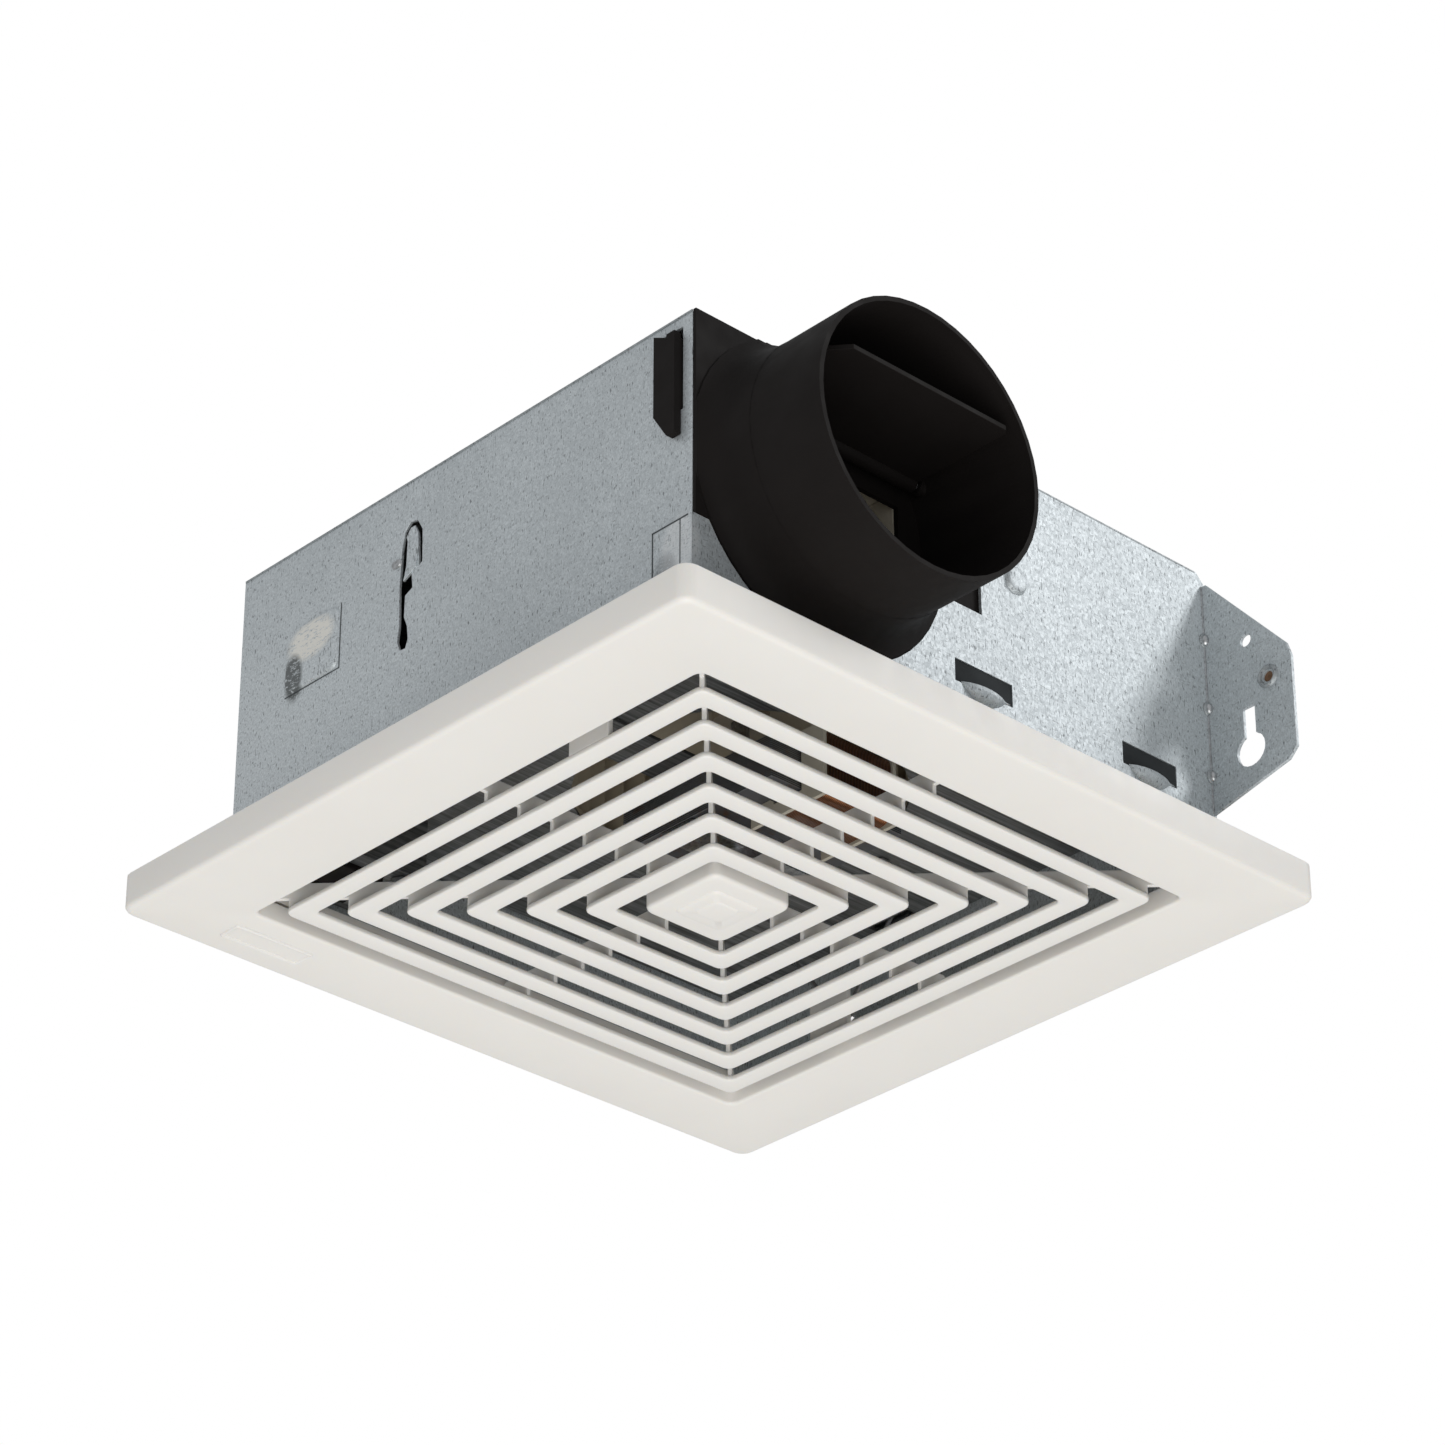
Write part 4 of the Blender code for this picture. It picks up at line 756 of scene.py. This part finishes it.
def build_slot(number, y0, y1, z0, z1):
    """The torn lip below a slot, and a nearly black sheet behind it: painted shade inside the slot."""
    lip = bmesh.new()
    rows = []
    for step in range(9):
        share = step / 8
        y = y0 + 2.2 + (y1 - y0 - 3.0) * share
        swell = math.sin(math.pi * min(share * 1.12, 1.0)) ** 0.7
        rows.append(
            [
                Vector((DUCT_WALL_X / MM + out * swell, y, z0 + 0.4 + up * swell)) * MM
                for out, up in SLOT_LIP
            ]
        )
    loft(lip, rows, cap_start=True, cap_end=True)
    housing_detail(f"slot_lip_{number}", lip, GALVANISED)
    # Painted shade: a dark sheet filling the slot
    behind = bmesh.new()
    x = DUCT_WALL_X / MM - SLOT_DEEP
    slab(behind, rectangle(y0 + 0.1, y1 - 0.1, z0 + 0.1, z1 - 0.1), 0.1, facing_x(x * MM))
    housing_detail(f"slot_shade_{number}", behind, SLOT_PAINTED_SHADE)


def build_ear_bend():
    """The rounded line where the ear leaves the duct wall, its stiffening dimples, and a dark ring of
    painted shade round each dimple.
    """
    bend_y = panel_high.y / MM
    line = bmesh.new()
    run = rectangle(bend_y - 1.5, bend_y - 0.4, BEND_LOW, BEND_HIGH)
    slab(line, run, 0.5, facing_x(DUCT_WALL_X + 0.05 * MM))
    housing_detail("bend_line", line, STEEL, 0.2 * MM)
    domes, rings = bmesh.new(), bmesh.new()
    for height in BEND_DIMPLES:
        place = Matrix.Translation(Vector((DUCT_WALL_X / MM + 0.5, bend_y - 1.3, height)) * MM)
        dome = place @ Matrix.Diagonal((0.8, 0.8, 1.1, 1))
        bmesh.ops.create_uvsphere(domes, u_segments=20, v_segments=12, radius=1.55 * MM, matrix=dome)
        # A dark ring of painted shade round the dimple
        ring = place @ Matrix.Translation((-0.35 * MM, 0.1 * MM, 0))
        ring = ring @ Matrix.Diagonal((0.35, 0.9, 1.05, 1))
        bmesh.ops.create_uvsphere(rings, u_segments=20, v_segments=12, radius=2.2 * MM, matrix=ring)
    housing_detail("bend_dimples", domes, STEEL)
    housing_detail("bend_dimple_shade_rings", rings, GALVANISED_PAINTED_SHADE)


def build_ear_boss():
    """A formed boss round the ear's pilot hole, darkened as painted shade, with a rusty floor."""
    centre = Vector((panel_high.x / MM - EAR_REACH + BOSS_ACROSS, panel_high.y / MM - 1.0, BOSS_UP))
    rows = []
    for radius, out in BOSS_PROFILE:
        rows.append(
            [
                (centre + Vector((radius * math.cos(angle), -out, radius * math.sin(angle)))) * MM
                for angle in full_turn(28)
            ]
        )
    boss = loft(bmesh.new(), rows)
    # The boss is drawn in the darker copy of the sheet: painted shade round the hole
    housing_detail("ear_boss", boss, GALVANISED_PAINTED_SHADE)
    floor = bmesh.new()
    place = Matrix.Translation((centre + Vector((0, 0.4, 0))) * MM)
    place = place @ Matrix.Rotation(math.pi / 2, 4, "X")
    bmesh.ops.create_circle(floor, cap_ends=True, radius=2.15 * MM, segments=24, matrix=place)
    housing_detail("ear_boss_floor", floor, RUSTY)


def build_duct_wall_details():
    for number, slot in enumerate(SLOTS, 1):
        build_slot(number, *slot)
    raised("wall_dimple", WALL_DIMPLE, WALL_DIMPLE_HALF, 2.9, 1.1, DUCT_WALL, GALVANISED)
    build_ear_bend()
    build_ear_boss()


def build_collar_fillet():
    """The smooth sweep from the flange into the pipe, flush with the housing's top and corner."""
    middle = Vector((0, PIPE_Y, PIPE_Z))
    rows = []
    for out, radius in FILLET:
        row = []
        for angle in full_turn(FILLET_STEPS):
            point = middle + Vector((out, radius * math.cos(angle), radius * math.sin(angle)))
            point.y = max(point.y, shell_low.y / MM + 0.05)
            point.z = min(point.z, shell_high.z / MM - 0.05)
            row.append(point * MM)
        rows.append(row)
    form = loft(bmesh.new(), rows)
    extra(add_piece("collar_fillet", form, BLACK), "housing")


# ---------------------------------------------------------------- pieces kept from the CAD model


SHEET_PIECES = ("housing_shell", "duct_side_panel", "wiring_side_panel", "knockout_disc")
INNER_SHEETS = ("motor_plate", "motor_bracket", "wiring_cover")
STEEL_PIECES = (
    "damper_pin", "plate_screw", "bearing_bracket_lower", "bearing_bracket_upper", "motor_shaft",
    "motor_bolt_front", "motor_bolt_back", "motor_nut_front", "motor_nut_back",
    "bracket_screw_front", "bracket_screw_back", "wiring_screw",
)
PLAIN_PIECES = {
    "duct_collar": (BLACK, PLASTIC_EDGE),
    "damper_flap": (BLACK, SHEET_EDGE),
    "blower_scroll": (CREAM_SHEET, PLASTIC_EDGE),
    "scroll_cover": (CREAM_SHEET, SHEET_EDGE),
    "receptacle": (BLACK, PLASTIC_EDGE),
    "impeller": (CREAM, BLADE_EDGE),
    "coil_bobbin": (BOBBIN, SHEET_EDGE),
    "coil_winding": (SHADED_COPPER, SHEET_EDGE),
    "stator_stack": (LAMINATED, SHEET_EDGE),
    "rotor": (LAMINATED, SHEET_EDGE),
    "bearing_lower": (BRONZE, SHEET_EDGE),
    "bearing_upper": (BRONZE, SHEET_EDGE),
    "grommet_front": (RUBBER, SCREW_EDGE),
    "grommet_back": (RUBBER, SCREW_EDGE),
    "ground_screw": (GREEN_SCREW, SCREW_EDGE),
    "impeller_clip": (SPRING_STEEL, SHEET_EDGE),
}


def finish_cad_pieces():
    for name in SHEET_PIECES:
        refine(name, GALVANISED, SHEET_EDGE)
    for name in INNER_SHEETS:
        refine(name, INNER_SHEET_PAINTED_SHADE, SHEET_EDGE)
    for name in STEEL_PIECES:
        refine(name, STEEL, SHEET_EDGE)
    for name, (material, width) in PLAIN_PIECES.items():
        refine(name, material, width)
    for name, node in nodes.items():
        if name.startswith("spring_"):
            node.data.materials.clear()
            node.data.materials.append(SPRING_STEEL)
            node.data.shade_smooth()


# ---------------------------------------------------------------- camera, light and studio


def build_camera():
    camera = bpy.data.objects.new("camera", bpy.data.cameras.new("camera"))
    bpy.context.scene.collection.objects.link(camera)
    camera.data.lens = CAMERA_LENS
    camera.data.sensor_width = 36
    azimuth, elevation = math.radians(CAMERA_AZIMUTH), math.radians(CAMERA_ELEVATION)
    back = Vector(
        (
            math.sin(azimuth) * math.cos(elevation),
            -math.cos(azimuth) * math.cos(elevation),
            math.sin(elevation),
        )
    )
    turn = back.to_track_quat("Z", "Y").to_matrix().to_4x4()
    roll = Matrix.Rotation(math.radians(CAMERA_ROLL), 4, "Z")
    camera.matrix_world = Matrix.Translation(CAMERA_TARGET + back * CAMERA_DISTANCE) @ turn @ roll
    camera.data.clip_end = 50
    bpy.context.scene.camera = camera


def add_sun(name, source, strength, spread):
    lamp = bpy.data.lights.new(name, "SUN")
    lamp.energy = strength
    lamp.angle = math.radians(spread)
    light = bpy.data.objects.new(name, lamp)
    bpy.context.scene.collection.objects.link(light)
    light.rotation_euler = Vector(source).to_track_quat("Z", "Y").to_euler()


def add_softbox(name, place, aim, size, power, colour):
    lamp = bpy.data.lights.new(name, "AREA")
    lamp.shape = "RECTANGLE"
    lamp.size, lamp.size_y = size
    lamp.energy = power
    lamp.color = colour
    light = bpy.data.objects.new(name, lamp)
    bpy.context.scene.collection.objects.link(light)
    light.location = place
    light.rotation_euler = (Vector(place) - Vector(aim)).to_track_quat("Z", "Y").to_euler()
    light.visible_camera = False


def build_studio():
    world = bpy.data.worlds.new("white_studio")
    bpy.context.scene.world = world
    world.use_nodes = True
    tree = world.node_tree
    surround = tree.nodes["Background"]
    surround.inputs["Color"].default_value = (0.97, 0.985, 1.0, 1.0)
    surround.inputs["Strength"].default_value = SURROUND
    backdrop = tree.nodes.new("ShaderNodeBackground")
    backdrop.inputs["Color"].default_value = (1, 1, 1, 1)
    backdrop.inputs["Strength"].default_value = 1.0
    path = tree.nodes.new("ShaderNodeLightPath")
    choose = tree.nodes.new("ShaderNodeMixShader")
    tree.links.new(path.outputs["Is Camera Ray"], choose.inputs["Fac"])
    tree.links.new(surround.outputs["Background"], choose.inputs[1])
    tree.links.new(backdrop.outputs["Background"], choose.inputs[2])
    tree.links.new(choose.outputs["Shader"], tree.nodes["World Output"].inputs["Surface"])
    add_sun("key_sun", SUN_FROM, SUN_STRENGTH, SUN_SPREAD)
    add_softbox("low_fill", FILL_PLACE, (0, 0, 0), (2.0, 2.0), FILL_POWER, (1.0, 0.985, 0.962))
    form = bmesh.new()
    bmesh.ops.create_grid(form, x_segments=8, y_segments=8, size=5)
    bmesh.ops.translate(form, vec=(0, 0, FLOOR_Z), verts=form.verts)
    floor = add_piece("studio_floor", form, Finish("pale_floor", (0.82, 0.82, 0.81), 0.7).material)
    bpy.context.scene.view_settings.view_transform = "Standard"


build_camera()
build_studio()
finish_cad_pieces()
build_grille()
build_front_wall_details()
build_duct_wall_details()
build_collar_fillet()
